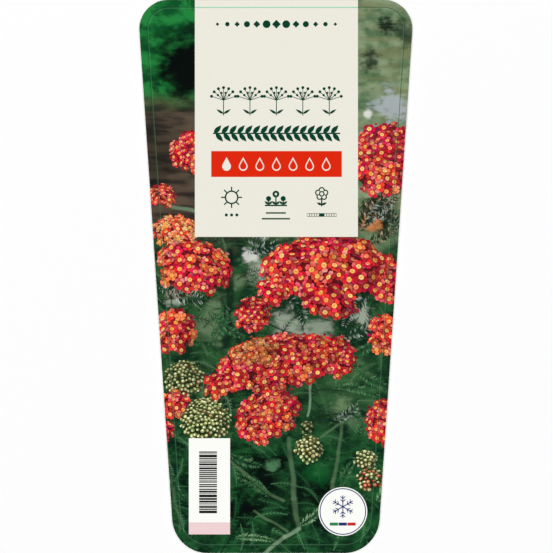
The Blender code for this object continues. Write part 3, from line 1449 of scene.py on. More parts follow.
@dataclass
class InfoPanel(Film):
    """The cream panel at the top with its banner, ornaments and pictograms."""

    name = "info_panel"
    area: Area = INFO_AREA
    mint_line: Area = Area(-32.2, 106.65, 32.6, 107.05)
    banner: Area = Area(-25.7, 39.5, 26.2, 49.8)
    green: Rgb = Ink.BOTTLE_GREEN.value
    paper: Rgb = Ink.CREAM.value
    tile_height: float = 100.2
    umbel_feet: float = 63.9
    umbel_tops: float = 70.0
    garland_height: float = 56.8
    sun: Point = (-17.6, 31.4)
    bed: Point = (0.0, 31.2)
    flower: Point = (18.2, 31.4)

    def outline(self) -> Array:
        """The panel's four corners."""
        return self.area.outline()

    def draw(self) -> None:
        """Draws the panel from its paper up."""
        self.lay(self.outline(), self.paper)
        self.lay(self.mint_line.outline(), Ink.MINT.value)
        self.draw_tiles()
        self.draw_umbels()
        self.draw_garland()
        self.draw_banner()
        self.draw_sun(*self.sun)
        self.draw_bed(*self.bed)
        self.draw_flower(*self.flower)

    def leaf_pair(self, turns: Sequence[float], length: float, width: float, root: Point) -> None:
        """Draws plain leaves from one root, each turned its own way in degrees."""
        for turn in turns:
            self.lay(leaf_outline(length, width, turn, root), self.green)

    def draw_tiles(self) -> None:
        """Draws a row of diamonds and dots, largest in the middle."""
        middle = (self.area.left + self.area.right) / 2
        for place in range(-6, 7):
            size = 1.75 - 0.17 * abs(place)
            self.disc((middle + place * 3.9, self.tile_height), size, self.green, 4 if place % 2 == 0 else 12)

    def draw_umbels(self) -> None:
        """Draws a frieze of line-drawn flower umbels, each with long rays and short ones between."""
        foot, top = self.umbel_feet, self.umbel_tops
        long_ray = [box_points(0.0, -0.13, 4.6, 0.13), ring_points((5.0, 0.0), 0.62, 10)]
        short_ray = [box_points(0.0, -0.12, 2.7, 0.12), ring_points((3.0, 0.0), 0.5, 10)]
        for place in range(5):
            x = -20.8 + place * 10.5
            self.stroke((x, foot), (x, top), 0.34, self.green)
            for ray, count, first, turn in ((long_ray, 7, 18, 24), (short_ray, 4, 42, 32)):
                angles = {"first": math.radians(first), "turn": math.radians(turn)}
                self.marks(ray, (x, top), self.green, count, **angles)
            self.leaf_pair((32, 148), 3.4, 1.0, (x, 64.6))

    def draw_garland(self) -> None:
        """Draws a bold garland of leaves along a stem."""
        self.stroke((-25.0, self.garland_height), (25.6, self.garland_height), 0.55, self.green)
        for turn, start in ((48, -24.6), (-48, -23.9)):
            leaf = [leaf_outline(4.4, 1.9, turn)]
            self.marks(leaf, (start, self.garland_height), self.green, 16, step=(3.1, 0.0))

    def draw_banner(self) -> None:
        """Draws the red banner with its row of water drops, one of them full."""
        red = Ink.BANNER_RED.value
        self.lay(self.banner.outline(), red)
        for place in range(7):
            x, y = -19.6 + place * 6.6, 43.7
            self.lay(drop_outline((x, y), 1.75), self.paper)
            if place:
                self.lay(drop_outline((x, y + 0.05), 1.3), red)

    def draw_sun(self, x: float, y: float) -> None:
        """Draws the sun pictogram and its scale of three dots.

        Args:
            x: Its middle, across.
            y: Its middle, upwards.
        """
        self.marks([box_points(2.3, -0.26, 4.2, 0.26)], (x, y), self.green, 8, turn=math.pi / 4)
        self.hoop((x, y), 2.75, 0.6, (self.green, self.paper))
        for place in range(3):
            self.disc((x + (place - 1) * 2.1, 24.4), 0.62, self.green)

    def draw_bed(self, x: float, y: float) -> None:
        """Draws the garden bed pictogram: three plants on a line of soil, over two bars.

        Args:
            x: Its middle, across.
            y: Its middle, upwards.
        """
        self.stroke((x - 4.4, y - 3.0), (x + 4.4, y - 3.0), 0.6, self.green)
        for offset, height in ((-2.9, 2.6), (0.0, 4.4), (2.9, 2.6)):
            stem, top = x + offset, y - 2.9 + height
            self.stroke((stem, y - 3.0), (stem, y - 3.0 + height), 0.5, self.green)
            self.leaf_pair((38, 142), 2.1, 0.95, (stem, y - 2.6))
            self.disc((stem, top), 1.05 if offset else 1.4, self.green)
            if not offset:
                self.disc((stem, top), 0.5, self.paper, 10)
        for row, half in ((25.2, 4.0), (22.9, 5.6)):
            self.box(x - half, row - 0.3, x + half, row + 0.3, self.green)

    def draw_flower(self, x: float, y: float) -> None:
        """Draws the flower pictogram and its bar of twelve months, with two of them filled.

        Args:
            x: Its middle, across.
            y: Its middle, upwards.
        """
        bloom = (x, y + 1.4)
        self.stroke((x, y - 3.6), (x, y), 0.55, self.green)
        self.leaf_pair((25, 155), 2.2, 1.0, (x, y - 3.0))
        for radius, sides, colour in ((1.25, 14, self.green), (0.74, 12, self.paper)):
            petal = [ring_points((1.5, 0.0), radius, sides)]
            self.marks(petal, bloom, colour, 5, first=math.pi / 2, turn=2 * math.pi / 5)
        self.hoop(bloom, 1.15, 0.5, (self.green, self.paper), 14)
        cell, rim = 0.98, 0.13
        for month in range(1, 13):
            left = x - 6 * cell + (month - 1) * cell
            self.box(left, 23.7, left + cell, 25.1, self.green)
            if month not in (6, 7):
                self.box(left + rim, 23.87, left + cell - rim, 24.93, self.paper)


@dataclass
class CodePanel(Film):
    """The white panel with a pattern of bars that encodes nothing, over a pink foot."""

    name = "code_panel"
    area: Area = CODE_AREA
    foot_top: float = -97.7
    bars: Area = Area(-30.5, -94.1, -23.4, -69.0)

    # A module is the width of the thinnest bar. These are how many fill the area, and the choices.
    modules: int = 95
    bar_modules: tuple[int, ...] = (1, 2, 2, 3, 4)
    gap_modules: tuple[int, ...] = (1, 1, 1, 2)
    seed: int = 5

    def outline(self) -> Array:
        """The panel's four corners."""
        return self.area.outline()

    def draw(self) -> None:
        """Draws the panel, its foot and the bars from the lowest up."""
        self.lay(self.outline(), Ink.WHITE.value)
        self.box(self.area.left, self.area.bottom, self.area.right, self.foot_top, Ink.PINK.value)
        step = (self.bars.top - self.bars.bottom) / self.modules
        dice = random.Random(self.seed)
        place = self.bars.bottom
        while place < self.bars.top - step:
            end = min(place + step * dice.choice(self.bar_modules), self.bars.top)
            self.box(self.bars.left, place, self.bars.right, end, Ink.BLACK.value)
            place = end + step * dice.choice(self.gap_modules)


@dataclass
class Badge(Film):
    """A plain round white badge with a frost pictogram over a short scale."""

    name = "frost_badge"
    centre: Point = BADGE_CENTRE
    radius: float = BADGE_RADIUS
    scale: tuple[tuple[Ink, float], ...] = ((Ink.LEAF_GREEN, -5.2), (Ink.NAVY, -1.7), (Ink.FLAG_RED, 1.8))

    def outline(self) -> Array:
        """The badge's round edge."""
        return ring_points(self.centre, self.radius, 72)

    def draw(self) -> None:
        """Draws the badge, its rim, the frost crystal and the scale."""
        x, y = self.centre
        self.lay(self.outline(), Ink.WHITE.value)
        self.hoop(self.centre, self.radius - 0.45, 0.4, (Ink.NAVY.value, Ink.WHITE.value), 64)
        arm = [box_points(0.0, -0.2, 4.5, 0.2)]
        for reach in (2.0, 3.2):
            for turn in (math.radians(48), math.radians(-48)):
                twig = np.array([(math.cos(turn), math.sin(turn))]) * 1.35
                across = np.array([(-math.sin(turn), math.cos(turn))]) * 0.17
                foot = np.array([(reach, 0.0)])
                tip = foot + twig
                arm.append(np.vstack([foot - across, tip - across, tip + across, foot + across]))
        self.marks(arm, (x, y + 1.9), Ink.NAVY.value, 6, first=math.pi / 2, turn=math.pi / 3)
        for ink, left in self.scale:
            self.box(x + left, y - 5.6, x + left + 3.3, y - 4.4, ink.value)


def shader_group(name: str, inputs: dict[str, Any], outputs: dict[str, str]) -> tuple[Graph, Any, Any]:
    """A new shader node group.

    Args:
        name: The group's name.
        inputs: A default for each input's name.
        outputs: The socket's type for each output's name.

    Returns:
        The graph, the sockets that give its inputs, and its group output node.
    """
    graph, given = new_tree(name, "ShaderNodeTree", inputs, outputs)
    return graph, given, graph.add("NodeGroupOutput")


def ink_mottle_group() -> NodeTree:
    """The slight unevenness of printed ink: a soft cloud and a fine grain, as a factor on a colour.

    Returns:
        The group.
    """
    inputs = {"Color": (1.0, 1.0, 1.0, 1.0), "Cloud": 0.03, "Grain": 0.03}
    graph, given, result = shader_group("ink_mottle", inputs, {"Color": COLOUR})
    place = graph.add("ShaderNodeTexCoord").outputs["Object"]
    uneven = graph.sway(graph.noise(place, 60.0, Detail=3.0), given["Cloud"])
    fine = graph.sway(graph.noise(place, 2600.0, Detail=1.0), given["Grain"])
    factor = graph.maths("ADD", graph.maths("ADD", uneven, fine), 1.0)
    graph.feed(result, "Color", graph.vectors("SCALE", given["Color"], factor))
    return graph.tree


def film_surface_group() -> NodeTree:
    """The satin skin of a varnished sheet: uneven gloss, a slow waviness and a fine orange peel.

    Returns:
        The group.
    """
    inputs = {"Gloss Low": 0.3, "Gloss High": 0.42, "Peel": 0.4}
    graph, given, result = shader_group("film_surface", inputs, {"Roughness": FLOAT, "Height": FLOAT})
    place = graph.add("ShaderNodeTexCoord").outputs["Object"]
    patch = graph.noise(place, 45.0, Detail=4.0)
    wave = graph.noise(place, 18.0, Detail=1.0)
    peel = graph.noise(place, 900.0, Detail=2.0)
    rough = graph.add(
        "ShaderNodeMapRange", Value=patch, From_Min=0.3, From_Max=0.7, To_Min=given["Gloss Low"],
        To_Max=given["Gloss High"],
    )
    graph.feed(result, "Roughness", rough)
    graph.feed(result, "Height", graph.maths("ADD", wave, graph.times(peel, given["Peel"])))
    return graph.tree


class Tone(Enum):
    """Colours of the garden's blur."""

    NIGHT = (2, 8, 7)
    POND = (6, 30, 20)
    MOSS = (22, 104, 50)
    FERN = (56, 96, 56)
    SAGE = (110, 134, 98)
    MIST = (168, 178, 160)
    SNOW = (230, 230, 224)
    LAVENDER = (178, 186, 194)
    BARK = (42, 37, 34)
    CLAY = (90, 77, 62)
    PEACH = (208, 130, 78)
    STEM = (84, 114, 80)
    PALE_STEM = (132, 162, 130)


class Cloud(Enum):
    """The garden's soft noises: scale to the millimetre, squeeze along each axis, and detail."""

    LARGE = (0.045, (1.0, 1.0, 1.0), 2.0)
    MEDIUM = (0.13, (1.0, 1.3, 1.0), 3.0)
    FINE = (0.42, (0.7, 1.2, 1.0), 4.0)
    BANDS = (0.10, (0.5, 2.2, 1.0), 3.0)


@dataclass(frozen=True)
class Spot:
    """A soft patch of the blur.

    Attributes:
        centre: Its middle.
        reach: How far it spreads.
        tone: Its colour.
        strength: How much it hides in its middle.
        ragged: How far its edge wanders.
    """

    centre: Point
    reach: float
    tone: Tone
    strength: float
    ragged: float = 8.0


@dataclass(frozen=True)
class Wisp:
    """A soft stem of the blur.

    Attributes:
        start: Where it starts.
        end: Where it ends.
        half_width: Half of its width.
        tone: Its colour.
        strength: How much it hides where it is clearest.
    """

    start: Point
    end: Point
    half_width: float
    tone: Tone
    strength: float = 0.85


@dataclass(frozen=True)
class Thicket:
    """One layer of scattered leaves.

    Attributes:
        cell: Size of the cell that holds one leaf.
        heading: The way the leaves run, in degrees.
        teeth: Leaflets along one cell.
        blur: From near 0, sharp, to 1, soft.
        share: Share of the cells that hold a leaf.
        dark: The leaves' darkest tone.
        pale: Their palest tone.
        strength: How much they hide.
    """

    cell: float
    heading: float
    teeth: float
    blur: float
    share: float
    dark: Rgb
    pale: Rgb
    strength: float


@dataclass(frozen=True)
class Wash:
    """A colour that covers a ground where one of the soft noises is strong.

    Attributes:
        cloud: The noise.
        low: The noise at which it starts to show.
        high: The noise at which it shows most.
        colour: Its colour.
        strength: How much it hides at most.
    """

    cloud: Cloud
    low: float
    high: float
    colour: Rgb
    strength: float = 1.0


def spot_group() -> NodeTree:
    """One spot's mask: full in its middle and gone at its reach.

    Returns:
        The group.
    """
    inputs = {"Place": (0.0, 0.0, 0.0), "Centre": (0.0, 0.0, 0.0), "Reach": 10.0, "Ragged": 8.0, "Noise": 0.5}
    graph, given, result = shader_group("soft_spot", inputs, {"Mask": FLOAT})
    away = graph.vectors("DISTANCE", given["Place"], given["Centre"])
    wander = graph.sway(given["Noise"], given["Ragged"])
    inner = graph.times(given["Reach"], 0.3)
    graph.feed(result, "Mask", graph.ramp(graph.maths("ADD", away, wander), given["Reach"], inner))
    return graph.tree


def wisp_group() -> NodeTree:
    """One stem's mask, from how far a place lies from the line between its ends.

    Returns:
        The group. Along leads from end to end, and Share is that over its length squared.
    """
    inputs = {"Place": (0.0, 0.0, 0.0), "Start": (0.0, 0.0, 0.0), "Along": (1.0, 0.0, 0.0),
              "Share": (1.0, 0.0, 0.0), "Half Width": 1.0}
    graph, given, result = shader_group("soft_wisp", inputs, {"Mask": FLOAT})
    offset = graph.vectors("SUBTRACT", given["Place"], given["Start"])
    share = graph.vectors("DOT_PRODUCT", offset, given["Share"])
    nearest = graph.vectors("SCALE", given["Along"], graph.maths("ADD", share, 0.0, clamp=True))
    away = graph.vectors("DISTANCE", offset, nearest)
    outer, inner = graph.times(given["Half Width"], 1.5), graph.times(given["Half Width"], 0.4)
    graph.feed(result, "Mask", graph.ramp(away, outer, inner))
    return graph.tree


def leaf_scatter_group() -> NodeTree:
    """A field of soft feathery leaves, one in each cell of a scattered pattern, with a random tone each.

    Returns:
        The group.
    """
    inputs = {"Place": (0.0, 0.0, 0.0), "Noise": 0.5, "Cell": 14.0, "Heading": 0.0, "Spread": 1.6,
              "Teeth": 12.0, "Blur": 0.5, "Share": 0.8}
    graph, given, result = shader_group("leaf_scatter", inputs, {"Mask": FLOAT, "Tone": FLOAT})
    about_z = {"rotation_type": "Z_AXIS"}
    squeeze = (0.75, 1.35)
    ahead = graph.add("ShaderNodeVectorRotate", about_z, Vector=given["Place"], Angle=given["Heading"])
    scaled = graph.vectors("SCALE", ahead, graph.maths("DIVIDE", 1.0, given["Cell"]))
    squeezed = graph.vectors("MULTIPLY", scaled, (*squeeze, 0.0))
    cells = graph.add("ShaderNodeTexVoronoi", {"voronoi_dimensions": "2D"}, Vector=squeezed, Scale=1.0)
    away = graph.vectors("SUBTRACT", squeezed, cells.outputs["Position"])
    away = graph.vectors("DIVIDE", away, (*squeeze, 1.0))
    chance = graph.add("ShaderNodeSeparateColor", Color=cells.outputs["Color"]).outputs
    lean = graph.sway(chance["Red"], given["Spread"])
    own = graph.add("ShaderNodeVectorRotate", about_z, Vector=away, Angle=lean)
    at = graph.add("ShaderNodeSeparateXYZ", Vector=own).outputs
    along = at["X"]
    bow = graph.times(graph.times(along, along), 0.25)
    aside = graph.maths("ABSOLUTE", graph.maths("ADD", at["Y"], bow))
    share = graph.maths("DIVIDE", along, 0.6)
    swell = graph.maths("SUBTRACT", 1.0, graph.times(share, share))
    inside = graph.maths("SUBTRACT", graph.times(swell, 0.17), aside)
    inside = graph.ramp(inside, 0.0, graph.times(given["Blur"], 0.2))
    phase = graph.times(graph.maths("SUBTRACT", along, aside), given["Teeth"])
    phase = graph.maths("ADD", phase, graph.times(given["Noise"], 0.8))
    comb = graph.maths("COSINE", graph.times(phase, 2 * math.pi))
    soft_from, soft_to = (graph.maths(way, 0.1, given["Blur"]) for way in ("SUBTRACT", "ADD"))
    blades = graph.times(inside, graph.ramp(comb, soft_from, soft_to))
    rib = graph.times(graph.ramp(aside, 0.03, 0.012), graph.ramp(swell, 0.0, 0.2))
    grown = graph.maths("LESS_THAN", chance["Blue"], given["Share"])
    graph.feed(result, "Mask", graph.times(graph.maths("MAXIMUM", blades, rib), grown))
    graph.feed(result, "Tone", chance["Green"])
    return graph.tree


Ground = tuple[Rgb, tuple[Wash, ...]]


@dataclass
class SoftGarden:
    """The out-of-focus garden behind the flowers, as a colour that changes over the label.

    Attributes:
        earth: The brown ground at the upper left, with lawn above it.
        haze: The grey-green and pale blur at the upper right.
        foliage: The deep green below.
        lawn_from: Heights between which the earth turns into lawn, and so on for the others.
        foot_tint: What multiplies red, green and blue at the foot.
        drift: How far stems and leaves wander from where they are put.
    """

    earth: Ground = (Tone.BARK.value, (Wash(Cloud.BANDS, 0.34, 0.62, Tone.CLAY.value),))
    lawn: Ground = ((10, 82, 38), (Wash(Cloud.MEDIUM, 0.4, 0.62, (34, 130, 60)),))
    haze: Ground = ((84, 112, 78), (
        Wash(Cloud.MEDIUM, 0.36, 0.62, (134, 152, 118)),
        Wash(Cloud.BANDS, 0.44, 0.66, (116, 122, 84), 0.8),
        Wash(Cloud.FINE, 0.56, 0.74, (62, 96, 62), 0.5),
    ))
    foliage: Ground = ((10, 40, 24), (
        Wash(Cloud.MEDIUM, 0.36, 0.64, (40, 84, 46)),
        Wash(Cloud.LARGE, 0.5, 0.68, (6, 26, 20), 0.75),
        Wash(Cloud.FINE, 0.52, 0.72, (78, 118, 76), 0.5),
    ))
    lawn_from: tuple[float, float] = (64.0, 76.0)
    haze_from: tuple[float, float] = (-8.0, 8.0)
    upper_from: tuple[float, float] = (8.0, 26.0)
    upper_sway: float = 26.0
    foot_from: tuple[float, float] = (-48.0, -74.0)
    foot_tint: tuple[float, float, float] = (0.55, 0.97, 0.85)
    drift: float = 2.5
    patches: tuple[Spot, ...] = (
        Spot((-35.5, 84.0), 19.0, Tone.NIGHT, 1.0, 13.0),
        Spot((-36.0, 79.0), 12.0, Tone.NIGHT, 0.8, 8.0),
        Spot((-33.0, 98.0), 5.0, Tone.POND, 0.7),
        Spot((-50.0, 46.0), 17.0, Tone.NIGHT, 0.5, 12.0),
        Spot((44.0, 100.0), 4.2, Tone.POND, 0.95, 7.0),
        Spot((52.0, 96.5), 6.0, Tone.POND, 0.7, 9.0),
        Spot((37.5, 86.0), 5.5, Tone.POND, 0.85, 9.0),
        Spot((46.0, 68.0), 9.0, Tone.LAVENDER, 0.75, 18.0),
        Spot((36.6, 64.5), 2.5, Tone.SNOW, 0.85, 3.0),
        Spot((37.5, 56.0), 6.0, Tone.MIST, 0.7, 10.0),
        Spot((41.0, 24.0), 10.0, Tone.NIGHT, 0.9, 8.0),
        Spot((37.5, 21.0), 4.8, Tone.PEACH, 0.9, 8.0),
        Spot((42.5, 28.0), 4.2, Tone.SNOW, 0.85, 8.0),
        Spot((37.0, 12.5), 7.0, Tone.SAGE, 0.9, 10.0),
        Spot((-24.0, -17.5), 11.0, Tone.SAGE, 0.75, 14.0),
        Spot((-7.0, 3.0), 6.0, Tone.MIST, 0.9, 11.0),
        Spot((-10.5, 8.0), 4.0, Tone.SNOW, 0.7, 8.0),
        Spot((-15.5, -2.0), 4.5, Tone.SAGE, 0.7, 8.0),
        Spot((4.5, -19.5), 8.0, Tone.MIST, 0.72, 14.0),
        Spot((17.0, -21.0), 7.5, Tone.MIST, 0.62, 15.0),
        Spot((27.5, -18.0), 6.0, Tone.POND, 0.85, 10.0),
        Spot((35.0, -16.0), 5.5, Tone.MIST, 0.8, 12.0),
        Spot((-40.0, -8.0), 5.0, Tone.MIST, 0.75, 10.0),
        Spot((31.0, -39.0), 9.0, Tone.FERN, 0.7, 14.0),
        Spot((26.0, -46.0), 12.0, Tone.FERN, 0.6, 16.0),
        Spot((2.0, -88.0), 26.0, Tone.NIGHT, 0.5, 22.0),
        Spot((-5.0, -79.0), 12.0, Tone.NIGHT, 0.9, 16.0),
        Spot((-15.0, -93.0), 10.0, Tone.NIGHT, 0.9, 16.0),
        Spot((18.0, -87.0), 9.0, Tone.NIGHT, 0.8, 16.0),
        Spot((16.5, -78.0), 6.0, Tone.MOSS, 0.45, 12.0),
        Spot((-43.0, -80.0), 16.0, Tone.NIGHT, 0.5, 18.0),
        Spot((-44.5, -84.0), 5.0, Tone.MOSS, 0.6, 8.0),
        Spot((27.0, -52.0), 6.0, Tone.SAGE, 0.85, 9.0),
        Spot((33.0, -60.0), 5.0, Tone.SAGE, 0.5, 12.0),
        Spot((-1.5, -75.5), 3.2, Tone.SAGE, 0.8, 6.0),
    )
    stems: tuple[Wisp, ...] = (
        Wisp((-40.0, 27.0), (-32.0, 25.5), 0.8, Tone.PALE_STEM, 0.5),
        Wisp((-18.0, 10.0), (-19.5, -27.0), 1.7, Tone.POND, 0.85),
        Wisp((-22.5, -9.0), (-14.0, -27.0), 0.9, Tone.POND, 0.7),
        Wisp((9.5, -9.0), (11.2, -24.0), 0.4, Tone.POND, 0.9),
        Wisp((-4.5, -18.0), (6.5, -23.0), 0.35, Tone.POND, 0.8),
        Wisp((15.0, -40.0), (12.0, -55.0), 0.55, Tone.PALE_STEM, 0.7),
        Wisp((6.0, -64.0), (6.3, -89.0), 0.95, Tone.STEM, 0.8),
        Wisp((6.3, -89.0), (9.5, -101.0), 1.1, Tone.STEM, 0.75),
        Wisp((-18.0, -73.5), (2.5, -90.0), 0.65, Tone.STEM),
        Wisp((-8.0, -94.0), (4.0, -102.0), 0.5, Tone.STEM),
        Wisp((26.0, -56.0), (23.0, -84.0), 0.7, Tone.STEM, 0.8),
        Wisp((17.5, -63.0), (26.0, -58.0), 0.45, Tone.STEM),
        Wisp((-3.5, -110.0), (3.0, -104.0), 0.8, Tone.PALE_STEM, 0.75),
        Wisp((3.0, -104.0), (9.5, -101.5), 0.8, Tone.PALE_STEM, 0.75),
        Wisp((-44.0, -62.0), (-38.0, -100.0), 0.6, Tone.STEM, 0.5),
    )
    thickets: tuple[Thicket, ...] = (
        Thicket(11.0, 35.0, 8.0, 1.0, 0.8, (16, 56, 32), (74, 112, 72), 0.6),
        Thicket(13.0, -40.0, 9.0, 0.6, 0.75, (6, 30, 18), (28, 66, 38), 0.8),
        Thicket(10.5, 12.0, 9.0, 0.85, 0.6, (36, 86, 50), (108, 140, 98), 0.56),
        Thicket(9.0, 70.0, 8.0, 0.7, 0.38, (48, 98, 58), (128, 160, 116), 0.52),
        Thicket(12.0, -15.0, 11.0, 0.5, 0.5, (5, 22, 14), (18, 48, 28), 0.7),
    )

    def group(self) -> NodeTree:
        """Builds the shader group that gives the garden's colour.

        Returns:
            The group.
        """
        graph, _, result = shader_group("soft_garden", {}, {"Color": COLOUR})
        metres = graph.add("ShaderNodeTexCoord").outputs["Object"]
        flat = graph.vectors("MULTIPLY", metres, (1 / MM, 1 / MM, 0.0))
        aside = graph.add("ShaderNodeTexNoise", Vector=flat, Scale=0.06, Detail=1.0).outputs["Color"]
        both_ways = (2 * self.drift, 2 * self.drift, 0.0)
        aside = graph.vectors("MULTIPLY_ADD", aside, both_ways, (-self.drift, -self.drift, 0.0))
        place = graph.vectors("ADD", flat, aside)
        at = graph.add("ShaderNodeSeparateXYZ", Vector=flat).outputs
        clouds = {}
        for cloud in Cloud:
            scale, squeeze, detail = cloud.value
            stretched = graph.vectors("MULTIPLY", flat, squeeze)
            clouds[cloud] = graph.noise(stretched, scale, Detail=detail, Roughness=0.55)
        earth, lawn, haze, foliage = (
            self.ground(graph, clouds, *ground) for ground in (self.earth, self.lawn, self.haze, self.foliage)
        )
        left = graph.mix(graph.ramp(at["Y"], *self.lawn_from), earth, lawn)
        upper = graph.mix(graph.ramp(at["X"], *self.haze_from), left, haze)
        medium, fine = clouds[Cloud.MEDIUM], clouds[Cloud.FINE]
        above = graph.ramp(graph.maths("ADD", at["Y"], graph.sway(medium, self.upper_sway)), *self.upper_from)
        colour = graph.mix(above, foliage, upper)
        colour = self.lay_patches(graph, colour, flat, graph.maths("ADD", medium, graph.sway(fine, 0.8)))
        below = graph.maths("SUBTRACT", 1.0, above)
        colour = self.lay_thickets(graph, colour, place, fine, below)
        tinted = graph.vectors("MULTIPLY", colour, self.foot_tint)
        colour = graph.mix(graph.ramp(at["Y"], *self.foot_from), colour, tinted)
        graph.feed(result, "Color", self.lay_stems(graph, colour, place, medium))
        return graph.tree

    @staticmethod
    def ground(graph: Graph, clouds: dict[Cloud, Any], first: Rgb, washes: Sequence[Wash]) -> Any:
        """One of the garden's uneven grounds.

        Args:
            graph: The group being built.
            clouds: Its soft noises.
            first: The ground's first colour.
            washes: What is laid over it, in order.

        Returns:
            The ground's colour.
        """
        colour = linear(first)
        for wash in washes:
            share = graph.ramp(clouds[wash.cloud], wash.low, wash.high, 0.0, wash.strength)
            colour = graph.mix(share, colour, linear(wash.colour))
        return colour

    def lay_patches(self, graph: Graph, colour: Any, place: Any, noise: Any) -> Any:
        """Lays the soft patches over a colour.

        Args:
            graph: The group being built.
            colour: The colour below.
            place: Where on the label, in millimetres.
            noise: What makes their edges wander.

        Returns:
            The new colour.
        """
        mask = spot_group()
        for spot in self.patches:
            reach = {"Reach": spot.reach, "Ragged": spot.ragged}
            shown = graph.group(mask, Place=place, Centre=(*spot.centre, 0.0), Noise=noise, **reach)["Mask"]
            colour = graph.mix(graph.times(shown, spot.strength), colour, linear(spot.tone.value))
        return colour

    def lay_thickets(self, graph: Graph, colour: Any, place: Any, noise: Any, where: Any) -> Any:
        """Lays the layers of scattered leaves over a colour.

        Args:
            graph: The group being built.
            colour: The colour below.
            place: Where on the label, in millimetres.
            noise: What makes the leaflets uneven.
            where: The mask that lets them show.

        Returns:
            The new colour.
        """
        scatter = leaf_scatter_group()
        for thicket in self.thickets:
            leaf = graph.group(
                scatter, Place=place, Noise=noise, Cell=thicket.cell, Heading=math.radians(thicket.heading),
                Teeth=thicket.teeth, Blur=thicket.blur, Share=thicket.share,
            )
            tone = graph.mix(leaf["Tone"], linear(thicket.dark), linear(thicket.pale))
            share = graph.times(graph.times(leaf["Mask"], where), thicket.strength)
            colour = graph.mix(share, colour, tone)
        return colour

    def lay_stems(self, graph: Graph, colour: Any, place: Any, noise: Any) -> Any:
        """Lays the soft stems over a colour, clearer and fainter by turns.

        Args:
            graph: The group being built.
            colour: The colour below.
            place: Where on the label, in millimetres.
            noise: What makes them clearer and fainter.

        Returns:
            The new colour.
        """
        mask = wisp_group()
        for wisp in self.stems:
            along = np.array(wisp.end) - np.array(wisp.start)
            share = along / (along @ along)
            line = {"Start": (*wisp.start, 0.0), "Along": (*along, 0.0), "Share": (*share, 0.0)}
            shown = graph.group(mask, Place=place, Half_Width=wisp.half_width, **line)["Mask"]
            share = graph.times(shown, graph.ramp(noise, 0.3, 0.6, 0.45, wisp.strength))
            colour = graph.mix(share, colour, linear(wisp.tone.value))
        return colour


def new_material(name: str) -> tuple[Material, Graph, Node]:
    """A new material.

    Args:
        name: Its name.

    Returns:
        The material, its graph and its Principled shader.
    """
    material = bpy.data.materials.new(name)
    material.use_nodes = True
    return material, Graph(material.node_tree), material.node_tree.nodes["Principled BSDF"]


@dataclass(frozen=True)
class PlasticFinish:
    """Satin plastic of one plain colour, as on the sheet's edge and back.

    Attributes:
        cloud: Strength of the colour's slow unevenness.
        grain: Strength of its fine grain.
        gloss: Least and greatest roughness.
        peel: Share of the fine orange peel.
    """

    name: str
    mottle: NodeTree
    surface: NodeTree
    colour: Rgb = (238, 240, 234)
    cloud: float = 0.06
    grain: float = 0.04
    gloss: tuple[float, float] = (0.34, 0.48)
    peel: float = 0.6
    specular: float = 0.5

    def base(self, graph: Graph) -> Any:
        """The colour before its unevenness."""
        return linear(self.colour)

    def material(self) -> Material:
        """Builds the material.

        Returns:
            The material.
        """
        material, graph, shader = new_material(self.name)
        colour = graph.group(self.mottle, Color=self.base(graph), Cloud=self.cloud, Grain=self.grain)["Color"]
        low, high = self.gloss
        skin = graph.group(self.surface, Gloss_Low=low, Gloss_High=high, Peel=self.peel)
        bump = graph.add("ShaderNodeBump", Strength=0.25, Distance=0.0001, Height=skin["Height"])
        shader.inputs["Specular IOR Level"].default_value = self.specular
        graph.feed(shader, "Base Color", colour)
        graph.feed(shader, "Roughness", skin["Roughness"])
        graph.feed(shader, "Normal", bump)
        return material


@dataclass(frozen=True)
class PrintFinish(PlasticFinish):
    """Varnished ink on a film, over paper or over the garden."""

    colour: Rgb = Ink.CREAM.value
    cloud: float = 0.02
    grain: float = 0.02
    gloss: tuple[float, float] = (0.22, 0.30)
    peel: float = 0.2
    specular: float = 0.13
    garden: NodeTree | None = None

    def base(self, graph: Graph) -> Any:
        """The ink over what lies below it.

        Args:
            graph: The material's graph.

        Returns:
            The colour's socket.
        """
        settings = {"attribute_type": "GEOMETRY", "attribute_name": INK_ATTRIBUTE}
        ink = graph.add("ShaderNodeAttribute", settings)
        below = graph.group(self.garden)["Color"] if self.garden else linear(self.colour)
        return graph.mix(ink.outputs["Alpha"], below, ink.outputs["Color"])


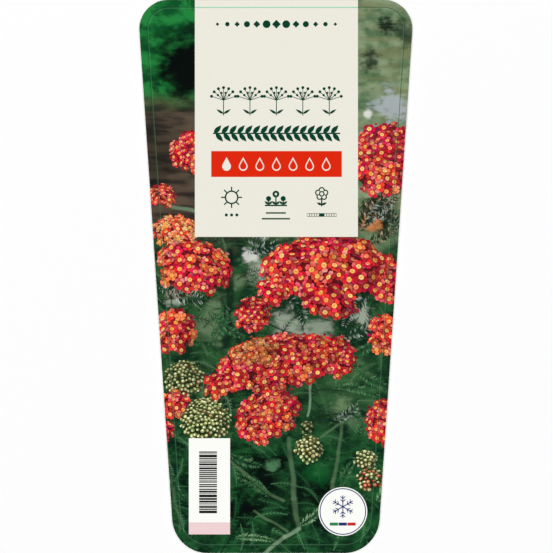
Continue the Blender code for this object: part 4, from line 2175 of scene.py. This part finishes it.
@dataclass
class Studio:
    """A plain white floor, soft lights on all sides and a camera that looks straight down."""

    visible_height: float = 0.2197
    lens: float = 85.0
    aim: Point = (0.00024, -0.00004)
    light_turns: tuple[tuple[int, float], ...] = ((135, 1.08), (45, 1.0), (-45, 0.94), (-135, 0.98))
    light_reach: float = 1.3
    light_size: float = 0.8
    light_height: float = 40.0
    light_power: float = 6.42
    world_light: float = 0.12
    backdrop: float = 0.95
    floor_side: float = 0.9
    floor_gap: float = 0.00004
    floor_white: float = 0.985

    def build(self) -> None:
        """Sets up everything around the label."""
        self.camera()
        self.lights()
        self.floor()
        self.world()
        bpy.context.scene.view_settings.view_transform = "Standard"

    def camera(self) -> None:
        """Places the camera above the print's middle."""
        data = bpy.data.cameras.new("camera")
        data.lens = self.lens
        camera = add_object("camera", data)
        distance = self.visible_height / 2 / (data.sensor_width / 2 / self.lens)
        camera.location = (*self.aim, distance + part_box(SHEET_NODE)[1].z)
        bpy.context.scene.camera = camera

    def lights(self) -> None:
        """Places four soft lights around the label, the upper left one a little stronger."""
        height = math.radians(self.light_height)
        for turn, share in self.light_turns:
            data = bpy.data.lights.new(f"soft_light_{turn}", "AREA")
            data.size, data.energy = self.light_size, self.light_power * share
            angle, flat = math.radians(turn), self.light_reach * math.cos(height)
            up = self.light_reach * math.sin(height)
            place = Vector((flat * math.cos(angle), flat * math.sin(angle), up))
            light = add_object(data.name, data)
            light.location = place
            light.rotation_euler = (-place).to_track_quat("-Z", "Y").to_euler()

    def floor(self) -> None:
        """Lays the floor just under the sheet."""
        side, white = self.floor_side, self.floor_white
        data = bpy.data.meshes.new("floor")
        corners = [(x * side, y * side, -self.floor_gap) for x, y in ((-1, -1), (1, -1), (1, 1), (-1, 1))]
        data.from_pydata(corners, [], [(0, 1, 2, 3)])
        floor = add_object("floor", data)
        material, _, shader = new_material("floor_white")
        shader.inputs["Base Color"].default_value = (white, white, white, 1.0)
        shader.inputs["Roughness"].default_value = 0.9
        shader.inputs["Specular IOR Level"].default_value = 0.1
        data.materials.append(material)

    def world(self) -> None:
        """Gives a faint light from all round, and a pale backdrop where the camera sees past the floor."""
        world = bpy.data.worlds.new("studio")
        world.use_nodes = True
        bpy.context.scene.world = world
        graph = Graph(world.node_tree)
        shader = world.node_tree.nodes["Background"]
        seen = graph.add("ShaderNodeLightPath").outputs["Is Camera Ray"]
        graph.feed(shader, "Color", (1.0, 1.0, 1.0, 1.0))
        graph.feed(shader, "Strength", graph.ramp(seen, 0.0, 1.0, self.world_light, self.backdrop))


@dataclass
class PlantLabel:
    """The whole label: its plastic sheet and the films of print on it."""

    film_depth: float = 0.000012

    def build(self) -> None:
        """Builds every piece, dresses it and lets it ride on the label's body."""
        groups = ink_mottle_group(), film_surface_group()
        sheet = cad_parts[SHEET_NODE]
        plastic = PlasticFinish("white_plastic", *groups).material()
        for place in range(max(1, len(sheet.material_slots))):
            sheet.material_slots[place].material = plastic
        ink = PrintFinish("plain_ink", *groups).material()
        garden = SoftGarden().group()
        picture_ink = PrintFinish("garden_ink", *groups, garden=garden, cloud=0.10, grain=0.10).material()
        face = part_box(SHEET_NODE)[1].z
        over = face + self.film_depth
        films = (GardenPicture(ink), InfoPanel(ink), CodePanel(ink), Badge(ink))
        for film, low in zip(films, (face, over, over, over)):
            piece = film.build(low, low + self.film_depth)
            piece.data.materials.clear()
            piece.data.materials.append(ink if low > face else picture_ink)
            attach(piece, BODY)
            LOG.info("%s: %d shapes, %d faces", piece.name, len(film.shapes), len(piece.data.polygons))


def main() -> None:
    """Builds the label and the studio around it."""
    logging.basicConfig(level=logging.INFO, format="%(name)s: %(message)s")
    PlantLabel().build()
    Studio().build()


if __name__ == "__main__":
    main()
